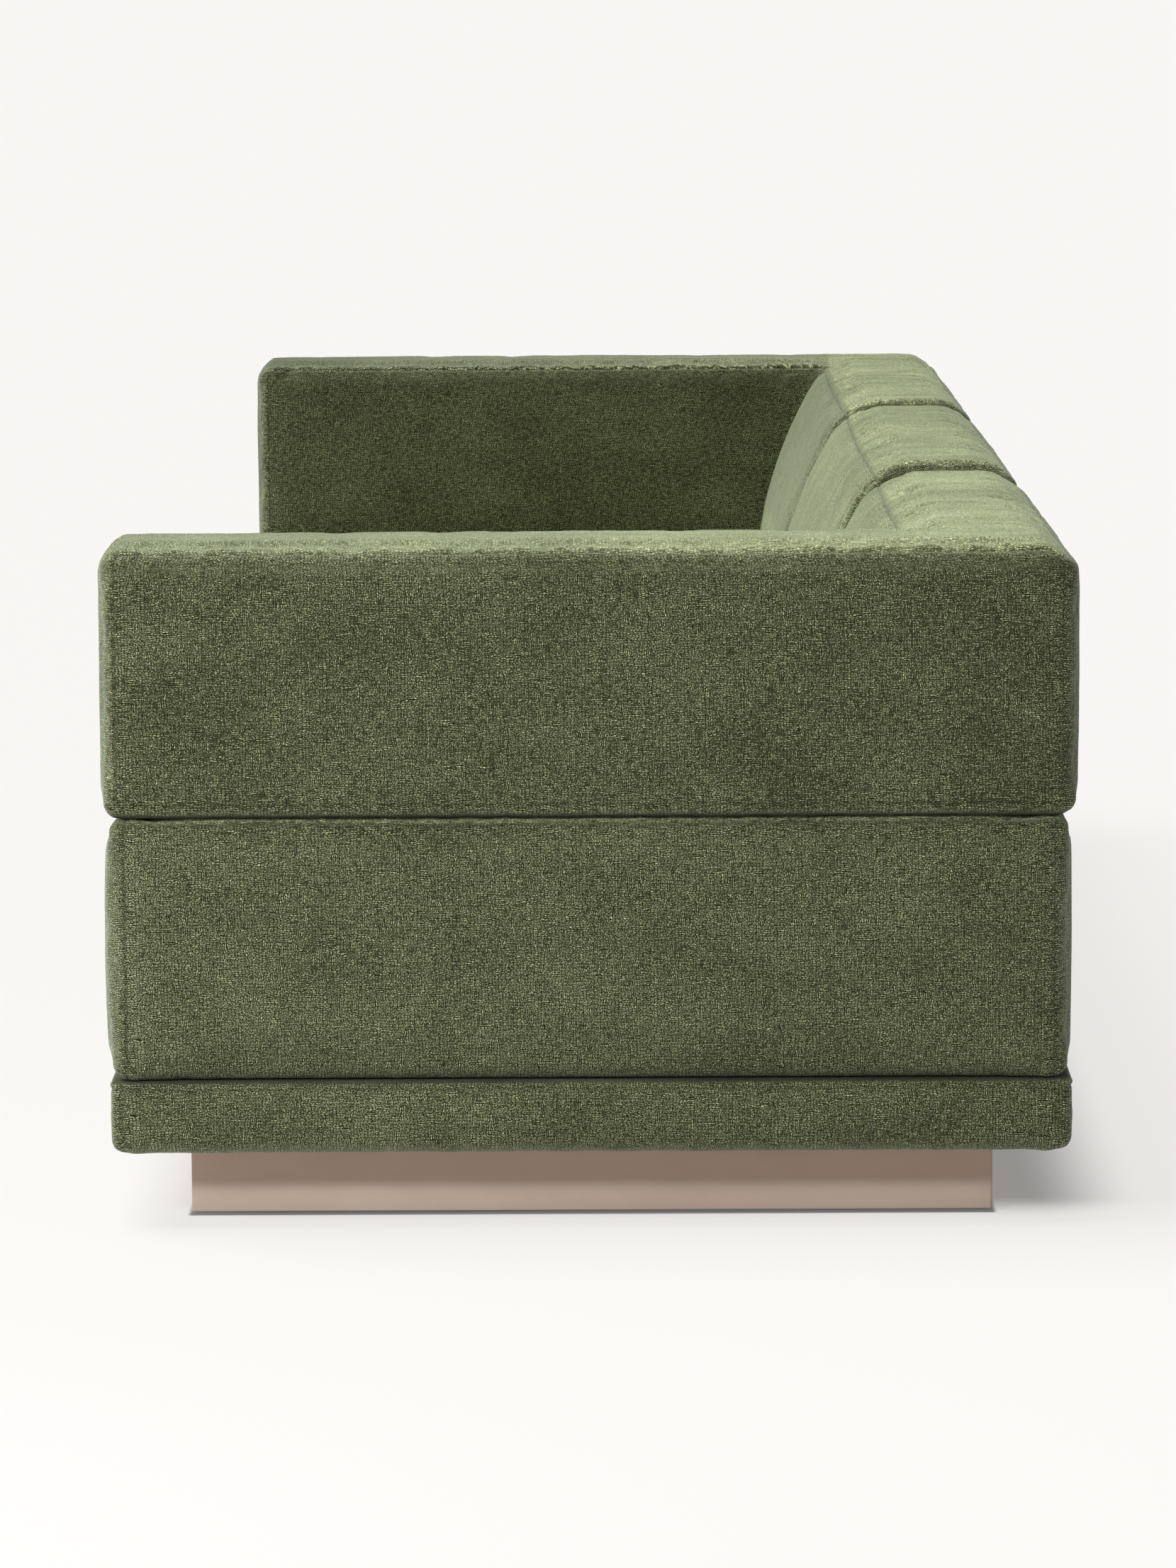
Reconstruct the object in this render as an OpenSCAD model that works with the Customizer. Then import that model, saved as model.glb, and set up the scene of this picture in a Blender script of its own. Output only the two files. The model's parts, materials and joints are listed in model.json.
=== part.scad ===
// A sofa of three modules that stand side by side on recessed plinths.
// Each module is a plinth, an upholstered platform and a seat block, and carries
// an arm and back unit that lifts off its locating posts.
// The front faces -Y, the modules run along X and the floor is z = 0.

/* [Modules] */
// Width of one module, along the sofa
module_w = 1030; // [860:10:1220]
// Depth of the arm and back units, from front to rear
module_d = 1030; // [860:10:1220]
// Space between the covers of two neighbouring modules
module_gap = 3; // [2:0.5:8]

/* [Heights] */
// Height of a glide
glide_h = 4; // [3:0.5:8]
// Height of the plinth boards
plinth_h = 75; // [62:1:120]
// Thickness of the upholstered platform
platform_h = 78; // [64:1:110]
// Thickness of the seat block
seat_h = 280; // [232:4:340]
// Height of the arm and back units below their crown
unit_h = 294; // [244:2:380]

/* [Plinth] */
// How far the plinth stands in from the outline of its module
plinth_recess = 87; // [60:1:120]
// Thickness of a plinth board
board_t = 18; // [14:1:25]
// Width of the small chamfer on the outer corners of the plinth
board_chamfer = 2; // [1:0.5:4]
// Length of a corner block inside the plinth, along X
corner_block_l = 100; // [80:5:130]
// Width of a corner block, along Y
corner_block_w = 60; // [48:2:80]
// Radius of a glide
glide_r = 18; // [12:1:24]

/* [Platform] */
// How far the platform stands in from the arm and back units
platform_inset = 2.5; // [1:0.5:10]
// Radius of the lower edge of the platform
platform_lower_r = 18; // [8:1:22]
// Radius of the upper edge of the platform
platform_upper_r = 4; // [2:0.5:8]
// Thickness of the cloth and padding on top of the platform frame
platform_skin = 5; // [3:0.5:10]
// Thickness of the platform's rails
platform_rail_t = 32; // [24:1:45]
// Width of the two bearers that the bolts pass through
bearer_w = 60; // [45:1:80]

/* [Seat block] */
// How far the seat block stands in from the arm and back units
seat_inset = 4.5; // [2:0.5:12]
// Radius of the seat block's upper and lower edges
seat_edge_r = 15; // [8:1:20]
// Height of the seat's crown above its edges
seat_crown = 12; // [4:1:25]
// Thickness of the foam above the webbing
seat_foam_t = 110; // [85:1:135]
// Thickness of the foam that hangs down over the frame's sides
skirt_t = 28; // [20:1:36]
// Thickness of the seat frame's rails
seat_rail_t = 32; // [24:1:40]
// Height of the seat frame's lower rails
lower_rail_h = 28; // [20:1:36]
// Height of the seat frame's upper rails
upper_rail_h = 55; // [45:1:66]
// Side of the square riser blocks under the locating posts
riser_w = 50; // [42:1:60]
// Length of webbing that lands on the rail in front of the risers
web_landing = 30; // [20:1:40]
// Width of a webbing strap
web_w = 60; // [45:1:75]
// Thickness of a webbing strap
web_t = 2; // [1.5:0.1:3]
// Number of straps that run from side to side
web_rows = 6; // [4:1:8]
// Number of straps that run from front to rear
web_columns = 8; // [5:1:9]

/* [Arm and back units] */
// Thickness of an arm
arm_t = 165; // [137:1:220]
// Thickness of a back at its top
back_top_t = 170; // [142:1:220]
// Thickness of a back at its foot
back_foot_t = 275; // [230:1:320]
// How far the front of a back swells between its top and its foot
back_swell = 19; // [8:1:26]
// How far the front of a back is drawn in at its two ends
back_draw = 8; // [2:1:14]
// Height of the crown on top of the arms and backs
unit_crown = 6; // [2:1:12]
// Radius of the lower edges of the units
unit_lower_r = 17; // [10:1:21]
// Radius of the front top edge of an arm
arm_nose_r = 30; // [15:1:36]
// Radius of the rear top edge of a back
rear_edge_r = 36; // [15:1:43]
// Radius of the other top edges of the units
top_edge_r = 15; // [8:1:20]
// Thickness of the foam on the front of a back
back_foam_t = 45; // [36:1:55]
// Thickness of the foam on the sides and ends of the units
unit_foam_t = 20; // [14:1:24]
// Thickness of the foam on top of the units
crest_foam_t = 30; // [22:1:38]
// Thickness of the boards and ribs inside the units
rib_t = 18; // [12:1:22]
// Thickness of the fibreboard panels inside the units
panel_t = 4; // [3:0.5:6]

/* [Covers] */
// How far the sides of the seat block are drawn in at their edges
seat_swell = 8; // [3:1:12]
// How far the sides of the platform and the units are drawn in at their edges
side_swell = 5; // [2:0.5:8]
// Thickness of the cloth with its wadding
cover_t = 12; // [9:1:15]
// Thickness of the cloth under a platform or a unit
under_t = 3; // [2:0.5:5]
// Radius of the upright corners
corner_r = 15; // [8:1:22]

/* [Fittings] */
// Radius of a locating post
post_r = 8; // [6:0.5:10]
// Height of a locating post above the seat block
post_rise = 50; // [35:1:65]
// Depth of a locating post in its riser block
post_depth = 45; // [35:1:60]
// Distance of the inner posts from the ends of their module
post_from_end = 200; // [160:5:240]
// Distance of the front row of posts from the front of the back's board
post_from_edge = 30; // [25:1:36]
// Wall of the sleeve round a locating post
sleeve_wall = 3; // [2:0.5:4]
// Width of the flange of a sleeve
sleeve_flange = 6; // [4:0.5:8]
// Length of a sleeve above its board
sleeve_rise = 25; // [18:1:30]
// Radius of a bolt's shank
bolt_r = 4; // [3:0.5:5]
// Radius of a bolt's head
bolt_head_r = 7; // [6:0.5:8.5]
// Height of a bolt's head and of its nut
bolt_head_h = 6; // [5:0.5:7.5]
// Radius of a washer
washer_r = 10; // [8.5:0.5:12]
// Thickness of a washer
washer_t = 2; // [1.5:0.1:3]
// Depth of the hole that sinks a bolt's head into its block
bolt_sink = 22; // [16:1:28]
// Thickness of the steel of a module connector
connector_t = 5; // [4:0.5:6]
// Width of a module connector
connector_w = 60; // [48:1:72]
// Width of a connector's tongue
tongue_w = 26; // [20:1:32]
// How far a tongue reaches below the plate that it drops through
tongue_reach = 14; // [10:1:18]
// Distance of the connectors from the middle of the depth
connector_y = 250; // [180:5:300]

/* [Hidden] */

// Gap between a unit and the seat block that it rests on
rest_gap = 0.3;
// Gap round a post in its sleeve
running_gap = 0.1;
// Gap round a post or a sleeve in timber
seat_gap = 0.2;
// Gap round a bolt in its holes, and round a post in the covers
bolt_gap = 0.5;
post_hole_gap = 2;
// Gap round a tongue in its slot
tongue_gap = 0.4;
// How far a cut runs past the face that it opens
overrun = 1;
// Distance of the seat's crown from the edges round it
crown_margin = 5;

// Shape of the swelling across a face: 1 is a sine, and less is fuller
swell_power = 0.6;
// Heights of the rings between the rounded edges
side_shares = [0.2, 0.4, 0.6, 0.8];
platform_shares = [0.5];
// Places of the rings across the crown of a unit
crown_shares = [0.35, 1];
// Share of an arm's or a back's thickness that the crown rises over, from each edge
cap_share = 0.36;
// Smallest share of a corner's radius that is left at the top of a cover
least_corner_share = 0.3;
// Steps round an upright corner, and cells across the top of a seat
arc_steps = 2;
seat_cells = 8;
// Points along the ends and along the long sides of a unit
end_points = 2;
face_points = 6;
// Angle between the rings round an edge
coarse_angle = 45;
seat_angle = 30;
unit_angle = 22.5;
// Facets of the round pieces
nut_facets = 6;
bolt_facets = 24;
post_facets = 32;
glide_facets = 48;

platform_z = glide_h + plinth_h;
seat_z = platform_z + platform_h;
seat_top = seat_z + seat_h;
unit_z = seat_top + rest_gap;
crest_z = unit_z + unit_h;
front_y = -module_d / 2;
rear_y = module_d / 2;

seat_wall = seat_inset + seat_swell + cover_t;
frame_wall = seat_wall + skirt_t;
unit_wall = side_swell + cover_t;
seat_frame_top = seat_top - cover_t - seat_foam_t - 2 * web_t;
riser_top = seat_top - cover_t;

back_foot_y = rear_y - back_foot_t;
back_top_y = rear_y - back_top_t;
arm_face_x = module_w * 3 / 2 - arm_t;
unit_floor = unit_z + under_t;
unit_board_top = unit_floor + rib_t;
unit_frame_top = crest_z - cover_t - crest_foam_t;
cap_inset = cap_share * min(arm_t, back_top_t);
tongue_x = (module_w + plinth_recess) / 2;
arm_plate_z = glide_h + plinth_h / 2;

fabric_colour = [0.33, 0.39, 0.22];
plinth_colour = [0.69, 0.62, 0.56];
foam_colour = [0.93, 0.90, 0.80];
timber_colour = [0.80, 0.66, 0.46];
steel_colour = [0.62, 0.63, 0.65];
webbing_colour = [0.25, 0.24, 0.22];
glide_colour = [0.16, 0.15, 0.14];

// The middle module is number 0 and the one at +X is number 1; the one at -X mirrors it.
// Each module's side towards -X, and its side towards +X, which is the free end of number 1.
function near_x(m) = (m - 1 / 2) * module_w + module_gap / 2;
function far_x(m, inset = 0) = (m + 1 / 2) * module_w - (m == 0 ? module_gap / 2 : inset);

// Frame of a seat block, inside its foam
function frame_near_x(m) = near_x(m) + frame_wall - seat_inset;
function frame_far_x(m) = far_x(m, seat_inset) - frame_wall + seat_inset;
frame_front_y = front_y + frame_wall;
frame_rear_y = rear_y - frame_wall;

// Outline of a plinth
function plinth_near_x(m) = (m - 1 / 2) * module_w + plinth_recess;
function plinth_far_x(m) = (m + 1 / 2) * module_w - plinth_recess;
plinth_front_y = front_y + plinth_recess;
plinth_rear_y = rear_y - plinth_recess;

// Front of a back, from the floor of its unit up to its crest
function rise_share(z) = min(max((z - unit_z) / unit_h, 0), 1);
function back_line_y(z) = back_foot_y + (back_top_y - back_foot_y) * rise_share(z);
function back_face_y(z) = back_line_y(z) - back_swell * sin(180 * rise_share(z));
// Front of the frame inside a back, behind its cover and foam
function back_frame_y(z) = back_line_y(z) + unit_wall + back_foam_t;

// Places of the locating posts
post_front_row_y = back_frame_y(unit_board_top) + post_from_edge;
post_rear_row_y = frame_rear_y - riser_w / 2;
function post_places(m) = m == 0
    ? [
        for (
            x = [near_x(0) + post_from_end, far_x(0) - post_from_end],
            y = [post_front_row_y, post_rear_row_y]
        ) [x, y]
    ]
    : [
        [near_x(1) + post_from_end, post_front_row_y],
        [near_x(1) + post_from_end, post_rear_row_y],
        [frame_far_x(1) - riser_w / 2, post_rear_row_y],
        [frame_far_x(1) - riser_w / 2, frame_front_y + riser_w / 2]
    ];

// Places of the clamp bolts and of the glides, one of each on every corner block
bolt_from_board = corner_block_l - bearer_w / 2;
glide_from_board = glide_r + seat_gap;
function corner_places(m, from_board) = [
    for (
        x = [plinth_near_x(m) + board_t + from_board, plinth_far_x(m) - board_t - from_board],
        y = [plinth_front_y + board_t + corner_block_w / 2, plinth_rear_y - board_t - corner_block_w / 2]
    ) [x, y]
];

// A box between two opposite corners
module block(low, high) {
    translate(low) cube(high - low);
}

// Copies of a piece at each place of a list, starting at one height
module at_each(places, z) {
    for (place = places) translate([place.x, place.y, z]) children();
}

// Cushion forms. An edge of an outline is [0, x, inward sign] or [1, y, inward sign],
// and the edges run anticlockwise.
function inward(edge) = edge[0] == 0 ? [edge[2], 0] : [0, edge[2]];
function meeting(a, b) = a[0] == 0 ? [a[1], b[1]] : [b[1], a[1]];
function moved(edges, insets) = [
    for (i = [0:len(edges) - 1]) [edges[i][0], edges[i][1] + edges[i][2] * insets[i], edges[i][2]]
];
function fullness(share) = pow(max(sin(180 * share), 0), swell_power);
function edge_inset(drop, radius) =
    drop >= radius ? 0 : radius - sqrt(pow(radius, 2) - pow(radius - drop, 2));
function arc_heights(radius, step) = [for (a = [0:step:90]) radius * (1 - cos(a))];

function corner_arc(a, b, radius) =
    let (
        n1 = inward(a),
        n2 = inward(b),
        turn = cross(n1, n2),
        centre = meeting(a, b) + turn * radius * (n1 + n2)
    )
    [
        for (k = [0:arc_steps])
            let (angle = 90 * k / arc_steps)
                centre - turn * radius * (n1 * cos(angle) + n2 * sin(angle))
    ];

function side_points(from, to, normal, count, swell) = [
    for (k = [1:count])
        let (share = k / (count + 1)) from + (to - from) * share - normal * swell * fullness(share)
];

function ring(edges, radii, counts, swells, z) =
    let (
        n = len(edges),
        arcs = [for (i = [0:n - 1]) corner_arc(edges[(i + n - 1) % n], edges[i], radii[i])]
    )
    [
        for (i = [0:n - 1])
            each [
                for (p = concat(
                    arcs[i],
                    side_points(
                        arcs[i][arc_steps], arcs[(i + 1) % n][0], inward(edges[i]), counts[i], swells[i]
                    )
                )) [p.x, p.y, z]
            ]
    ];

// Upright corners get tighter as the outline shrinks, and the inner one wider
function corner_radii(edges, insets, draws) =
    let (n = len(edges))
    [
        for (i = [0:n - 1])
            let (
                before = (i + n - 1) % n,
                shrink = min(insets[before] - draws[before], insets[i] - draws[i]),
                turn = cross(inward(edges[before]), inward(edges[i]))
            )
            max(corner_r - turn * shrink, corner_r * least_corner_share)
    ];

function skin_faces(n, rings) = [
    for (r = [0:rings - 2], i = [0:n - 1])
        let (a = r * n + i, b = r * n + (i + 1) % n)
            each [[a, b + n, b], [a, a + n, b + n]]
];

// A flat end is laced across from one side of its ring to the other, on from a starting point.
// Where the ring starts and ends on a straight edge, a fan of so many points a side closes it.
function cap_fan(n, base, middle, lead) = [
    for (k = [1 - lead:1:lead])
        [base + (middle - 1 - lead + n) % n, base + (middle + k - 1 + n) % n, base + (middle + k + n) % n]
];
function cap_lacing(n, base, start, lead) = [
    for (k = [lead:n / 2 - 2 - lead])
        let (
            a = base + (start + k) % n,
            b = base + (start + k + 1) % n,
            c = base + (start - 2 - k + n) % n,
            d = base + (start - 1 - k + n) % n
        )
            each [[a, b, c], [a, c, d]]
];
function cap_faces(n, base, start, lead) = concat(
    cap_lacing(n, base, start, lead),
    cap_fan(n, base, start, lead),
    cap_fan(n, base, start + n / 2, lead)
);
function flipped(faces) = [for (f = faces) [f[0], f[2], f[1]]];

// A closed form through a stack of rings, with a flat cap at each end
module lofted(rings, start, lead) {
    n = len(rings[0]);
    polyhedron(
        [for (r = rings) each r],
        concat(
            skin_faces(n, len(rings)),
            cap_faces(n, 0, start, lead),
            flipped(cap_faces(n, (len(rings) - 1) * n, start, lead))
        )
    );
}

// The edges of a module's whole outline, set in at the free sides
function outline_edges(m, inset) = [
    [1, front_y + inset, 1],
    [0, far_x(m, inset), -1],
    [1, rear_y - inset, -1],
    [0, near_x(m), 1]
];

// One ring of an upholstered block that stands on its module's outline
function block_ring(m, inset, swell, z, low, high, low_r, high_r) =
    let (
        edges = outline_edges(m, inset),
        rounding = edge_inset(z - low, low_r) + edge_inset(high - z, high_r),
        insets = [for (e = edges) swell + rounding],
        draws = [for (e = edges) swell],
        swells = [for (e = edges) swell * fullness((z - low) / (high - low))],
        counts = [for (e = edges) seat_cells - arc_steps - 1]
    )
    ring(moved(edges, insets), corner_radii(edges, insets, draws), counts, swells, z);

function block_heights(low, high, low_r, high_r, step, shares) =
    let (low_arc = arc_heights(low_r, step), high_arc = arc_heights(high_r, step))
    concat(
        [for (h = low_arc) low + h],
        [for (s = shares) low + low_r + (high - high_r - low - low_r) * s],
        [for (i = [len(high_arc) - 1:-1:0]) high - high_arc[i]]
    );

// Unit edges: a straight back has four and a corner unit six
function unit_edges(m, z) = m == 0
    ? [[1, back_face_y(z), 1], [0, far_x(0), -1], [1, rear_y, -1], [0, near_x(0), 1]]
    : [
        [1, front_y, 1], [0, far_x(1), -1], [1, rear_y, -1], [0, near_x(1), 1],
        [1, back_face_y(z), 1], [0, arm_face_x, 1]
    ];
function unit_radii(m) = m == 0
    ? [top_edge_r, top_edge_r, rear_edge_r, top_edge_r]
    : [arm_nose_r, top_edge_r, rear_edge_r, top_edge_r, top_edge_r, top_edge_r];
function unit_draws(m) = m == 0
    ? [0, side_swell, side_swell, side_swell]
    : [side_swell, side_swell, side_swell, side_swell, 0, 0];
function unit_swells(m) = m == 0
    ? [back_draw, side_swell, side_swell, side_swell]
    : [side_swell, side_swell, side_swell, side_swell, back_draw, side_swell];
function unit_counts(m) = m == 0
    ? [face_points, end_points, face_points, end_points]
    : [end_points, face_points, face_points, end_points, face_points, face_points];

function unit_ring(m, z, crown_share) =
    let (
        edges = unit_edges(m, z),
        draws = unit_draws(m),
        insets = [
            for (i = [0:len(edges) - 1])
                let (r = unit_radii(m)[i])
                    draws[i] + edge_inset(z - unit_z, unit_lower_r) + edge_inset(crest_z - z, r)
                        + max(cap_inset - r, 0) * crown_share
        ],
        full = fullness(rise_share(z)),
        swells = [for (s = unit_swells(m)) s * full]
    )
    ring(
        moved(edges, insets), corner_radii(edges, insets, draws), unit_counts(m), swells,
        z + unit_crown * sin(90 * crown_share)
    );

function unit_heights() =
    let (low_arc = arc_heights(unit_lower_r, coarse_angle), high_arc = arc_heights(rear_edge_r, unit_angle))
    concat(
        [for (h = low_arc) unit_z + h],
        [for (s = side_shares) unit_z + unit_lower_r + (crest_z - rear_edge_r - unit_z - unit_lower_r) * s],
        [for (i = [len(high_arc) - 1:-1:0]) crest_z - high_arc[i]]
    );

module unit_form(m) {
    counts = unit_counts(m);
    lofted(
        concat(
            [for (z = unit_heights()) unit_ring(m, z, 0)],
            [for (s = crown_shares) unit_ring(m, crest_z, s)]
        ),
        m == 0 ? 2 * (arc_steps + 1) + counts[0] + counts[1] / 2 : arc_steps + 1 + counts[0] / 2,
        end_points / 2 + arc_steps / 2
    );
}

// The top of a seat is a grid whose crown ends at the arm, the back and the edges
function spread(low, high, covered, last) = [
    for (k = [0:seat_cells])
        covered
            ? (k == seat_cells ? last : low + (high - low) * k / (seat_cells - 1))
            : low + (last - low) * k / seat_cells
];
function crown_share_at(k, covered) = fullness(min(k / (seat_cells - (covered ? 1 : 0)), 1));

function seat_top_points(m) =
    let (
        edge = seat_swell + seat_edge_r + crown_margin,
        xs = spread(
            near_x(m) + edge, arm_face_x - crown_margin, m == 1, far_x(m, seat_inset) - edge
        ),
        ys = spread(
            front_y + seat_inset + edge, back_foot_y - crown_margin, true, rear_y - seat_inset - edge
        )
    )
    [
        for (row = [0:seat_cells], column = [0:seat_cells])
            [
                xs[column],
                ys[row],
                seat_top + seat_crown * crown_share_at(column, m == 1) * crown_share_at(row, true)
            ]
    ];

// Index, within that grid, of the k-th point round its border
function border_index(k) =
    let (g = seat_cells, side = floor(k / g) % 4, j = k % g)
    side == 0 ? j
        : side == 1 ? j * (g + 1) + g
        : side == 2 ? g * (g + 1) + g - j
        : (g - j) * (g + 1);

module seat_form(m) {
    n = 4 * seat_cells;
    turned_by = arc_steps / 2;
    rings = [
        for (z = block_heights(seat_z, seat_top, seat_edge_r, seat_edge_r, seat_angle, side_shares))
            let (r = block_ring(m, seat_inset, seat_swell, z, seat_z, seat_top, seat_edge_r, seat_edge_r))
                [for (i = [0:n - 1]) r[(i + turned_by) % n]]
    ];
    last = (len(rings) - 1) * n;
    base = last + n;
    row = seat_cells + 1;
    polyhedron(
        concat([for (r = rings) each r], seat_top_points(m)),
        concat(
            skin_faces(n, len(rings)),
            cap_faces(n, 0, 0, 0),
            [
                for (i = [0:n - 1])
                    let (
                        a = last + i,
                        b = last + (i + 1) % n,
                        c = base + border_index((i + 1) % n),
                        d = base + border_index(i)
                    )
                        each [[a, c, b], [a, d, c]]
            ],
            [
                for (y = [0:seat_cells - 1], x = [0:seat_cells - 1])
                    let (p = base + y * row + x)
                        each [[p, p + row, p + row + 1], [p, p + row + 1, p + 1]]
            ]
        )
    );
}

// Plinth
module plinth_board(length, height) {
    half = length / 2;
    linear_extrude(height)
        polygon([
            [-half + board_chamfer, 0],
            [half - board_chamfer, 0],
            [half - board_chamfer / 2, board_chamfer / 2],
            [half - board_t, board_t],
            [-half + board_t, board_t],
            [-half + board_chamfer / 2, board_chamfer / 2]
        ]);
}

module plinth_front(m) {
    color(plinth_colour)
        translate([m * module_w, plinth_front_y, glide_h])
            plinth_board(plinth_far_x(m) - plinth_near_x(m), plinth_h);
}

module plinth_rear(m) {
    color(plinth_colour)
        translate([m * module_w, plinth_rear_y, glide_h])
            rotate([0, 0, 180]) plinth_board(plinth_far_x(m) - plinth_near_x(m), plinth_h);
}

module plinth_far_side(m) {
    color(plinth_colour)
        translate([plinth_far_x(m), 0, glide_h])
            rotate([0, 0, 90]) plinth_board(plinth_rear_y - plinth_front_y, plinth_h);
}

module plinth_near_side(m) {
    color(plinth_colour)
        translate([plinth_near_x(m), 0, glide_h])
            rotate([0, 0, -90]) plinth_board(plinth_rear_y - plinth_front_y, plinth_h);
}

// The four corner blocks, from one height to another
module corner_blocks(m, z_low, z_high) {
    x_low = plinth_near_x(m) + board_t;
    x_high = plinth_far_x(m) - board_t;
    y_low = plinth_front_y + board_t;
    y_high = plinth_rear_y - board_t;
    for (x = [x_low, x_high - corner_block_l], y = [y_low, y_high - corner_block_w])
        block([x, y, z_low], [x + corner_block_l, y + corner_block_w, z_high]);
}

module plinth_blocks(m) {
    color(timber_colour)
        difference() {
            corner_blocks(m, glide_h, platform_z + under_t);
            at_each(corner_places(m, bolt_from_board), glide_h - overrun) {
                cylinder(h = platform_h + plinth_h, r = bolt_r + bolt_gap, $fn = bolt_facets);
                cylinder(h = bolt_sink + overrun, r = washer_r + bolt_gap, $fn = bolt_facets);
            }
        }
}

module glides(m) {
    color(glide_colour)
        at_each(corner_places(m, glide_from_board), 0)
            cylinder(h = glide_h, r1 = glide_r - glide_h / 2, r2 = glide_r, $fn = glide_facets);
}

// Platform
module platform_frame(m) {
    wall = side_swell + cover_t;
    x_low = near_x(m) + wall;
    x_high = far_x(m, platform_inset) - wall;
    y_low = front_y + platform_inset + wall;
    y_high = rear_y - platform_inset - wall;
    z_low = platform_z + under_t;
    z_high = seat_z - platform_skin;
    bolts = corner_places(m, bolt_from_board);
    color(timber_colour)
        difference() {
            union() {
                for (y = [y_low, y_high - platform_rail_t])
                    block([x_low, y, z_low], [x_high, y + platform_rail_t, z_high]);
                for (x = [x_low, x_high - platform_rail_t])
                    block(
                        [x, y_low + platform_rail_t, z_low],
                        [x + platform_rail_t, y_high - platform_rail_t, z_high]
                    );
                for (x = [bolts[0].x, bolts[2].x])
                    block(
                        [x - bearer_w / 2, y_low + platform_rail_t, z_low],
                        [x + bearer_w / 2, y_high - platform_rail_t, z_high]
                    );
            }
            at_each(bolts, z_low - overrun)
                cylinder(h = z_high - z_low + 2 * overrun, r = bolt_r + bolt_gap, $fn = bolt_facets);
        }
}

module platform_cover(m) {
    wall = side_swell + cover_t;
    color(fabric_colour)
        difference() {
            lofted(
                [
                    for (z = block_heights(
                        platform_z, seat_z, platform_lower_r, platform_upper_r, coarse_angle, platform_shares
                    ))
                        block_ring(
                            m, platform_inset, side_swell, z,
                            platform_z, seat_z, platform_lower_r, platform_upper_r
                        )
                ],
                arc_steps / 2,
                0
            );
            block(
                [near_x(m) + wall, front_y + platform_inset + wall, platform_z + under_t],
                [
                    far_x(m, platform_inset) - wall,
                    rear_y - platform_inset - wall,
                    seat_z - platform_skin
                ]
            );
            corner_blocks(m, platform_z - overrun, platform_z + under_t + overrun);
            at_each(corner_places(m, bolt_from_board), seat_z - platform_skin - overrun)
                cylinder(h = platform_skin + 2 * overrun, r = bolt_r + bolt_gap, $fn = bolt_facets);
        }
}

// Seat block
module seat_frame(m) {
    x_low = frame_near_x(m);
    x_high = frame_far_x(m);
    y_low = frame_front_y;
    y_high = frame_rear_y;
    support_low = post_front_row_y - riser_w / 2 - web_landing;
    support_high = post_front_row_y + riser_w / 2;
    bolts = corner_places(m, bolt_from_board);
    color(timber_colour)
        difference() {
            union() {
                for (low = [seat_z, seat_frame_top - upper_rail_h]) {
                    high = low == seat_z ? seat_z + lower_rail_h : seat_frame_top;
                    for (y = [y_low, y_high - seat_rail_t])
                        block([x_low, y, low], [x_high, y + seat_rail_t, high]);
                    for (x = [x_low, x_high - seat_rail_t])
                        block(
                            [x, y_low + seat_rail_t, low],
                            [x + seat_rail_t, y_high - seat_rail_t, high]
                        );
                }
                for (x = [x_low, x_high - riser_w], y = [y_low, y_high - riser_w])
                    block(
                        [x, y, seat_z + lower_rail_h],
                        [x + riser_w, y + riser_w, seat_frame_top - upper_rail_h]
                    );
                for (x = [bolts[0].x, bolts[2].x])
                    block(
                        [x - bearer_w / 2, y_low + seat_rail_t, seat_z],
                        [x + bearer_w / 2, y_high - seat_rail_t, seat_z + lower_rail_h]
                    );
                block(
                    [x_low + seat_rail_t, support_low, seat_frame_top - upper_rail_h],
                    [x_high - seat_rail_t, support_high, seat_frame_top]
                );
                for (place = post_places(m))
                    block(
                        [place.x - riser_w / 2, place.y - riser_w / 2, seat_frame_top],
                        [place.x + riser_w / 2, place.y + riser_w / 2, riser_top]
                    );
            }
            at_each(post_places(m), riser_top - post_depth)
                cylinder(h = post_depth + overrun, r = post_r + seat_gap, $fn = post_facets);
            at_each(bolts, seat_z - overrun)
                cylinder(h = lower_rail_h + 2 * overrun, r = bolt_r + bolt_gap, $fn = bolt_facets);
        }
}

module seat_webbing(m) {
    x_low = frame_near_x(m);
    x_high = frame_far_x(m);
    y_low = frame_front_y;
    y_high = post_front_row_y - riser_w / 2;
    first_x = x_low + riser_w;
    last_x = x_high - riser_w - web_w;
    first_y = y_low + riser_w;
    last_y = y_high - web_landing - web_w;
    color(webbing_colour) {
        for (k = [0:web_rows - 1]) {
            y = first_y + (last_y - first_y) * k / (web_rows - 1);
            block([x_low, y, seat_frame_top], [x_high, y + web_w, seat_frame_top + web_t]);
        }
        for (k = [0:web_columns - 1]) {
            x = first_x + (last_x - first_x) * k / (web_columns - 1);
            block(
                [x, y_low, seat_frame_top + web_t],
                [x + web_w, y_high, seat_frame_top + 2 * web_t]
            );
        }
    }
}

module seat_foam(m) {
    low = [near_x(m) + seat_wall - seat_inset, front_y + seat_wall];
    high = [far_x(m, seat_inset) - seat_wall + seat_inset, rear_y - seat_wall];
    foam_low = seat_frame_top + 2 * web_t;
    color(foam_colour)
        difference() {
            block([low.x, low.y, seat_z], [high.x, high.y, riser_top]);
            block(
                [frame_near_x(m), frame_front_y, seat_z - overrun],
                [frame_far_x(m), frame_rear_y, foam_low]
            );
            for (place = post_places(m))
                block(
                    [place.x - riser_w / 2, place.y - riser_w / 2, foam_low - overrun],
                    [place.x + riser_w / 2, place.y + riser_w / 2, riser_top + overrun]
                );
        }
}

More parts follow.
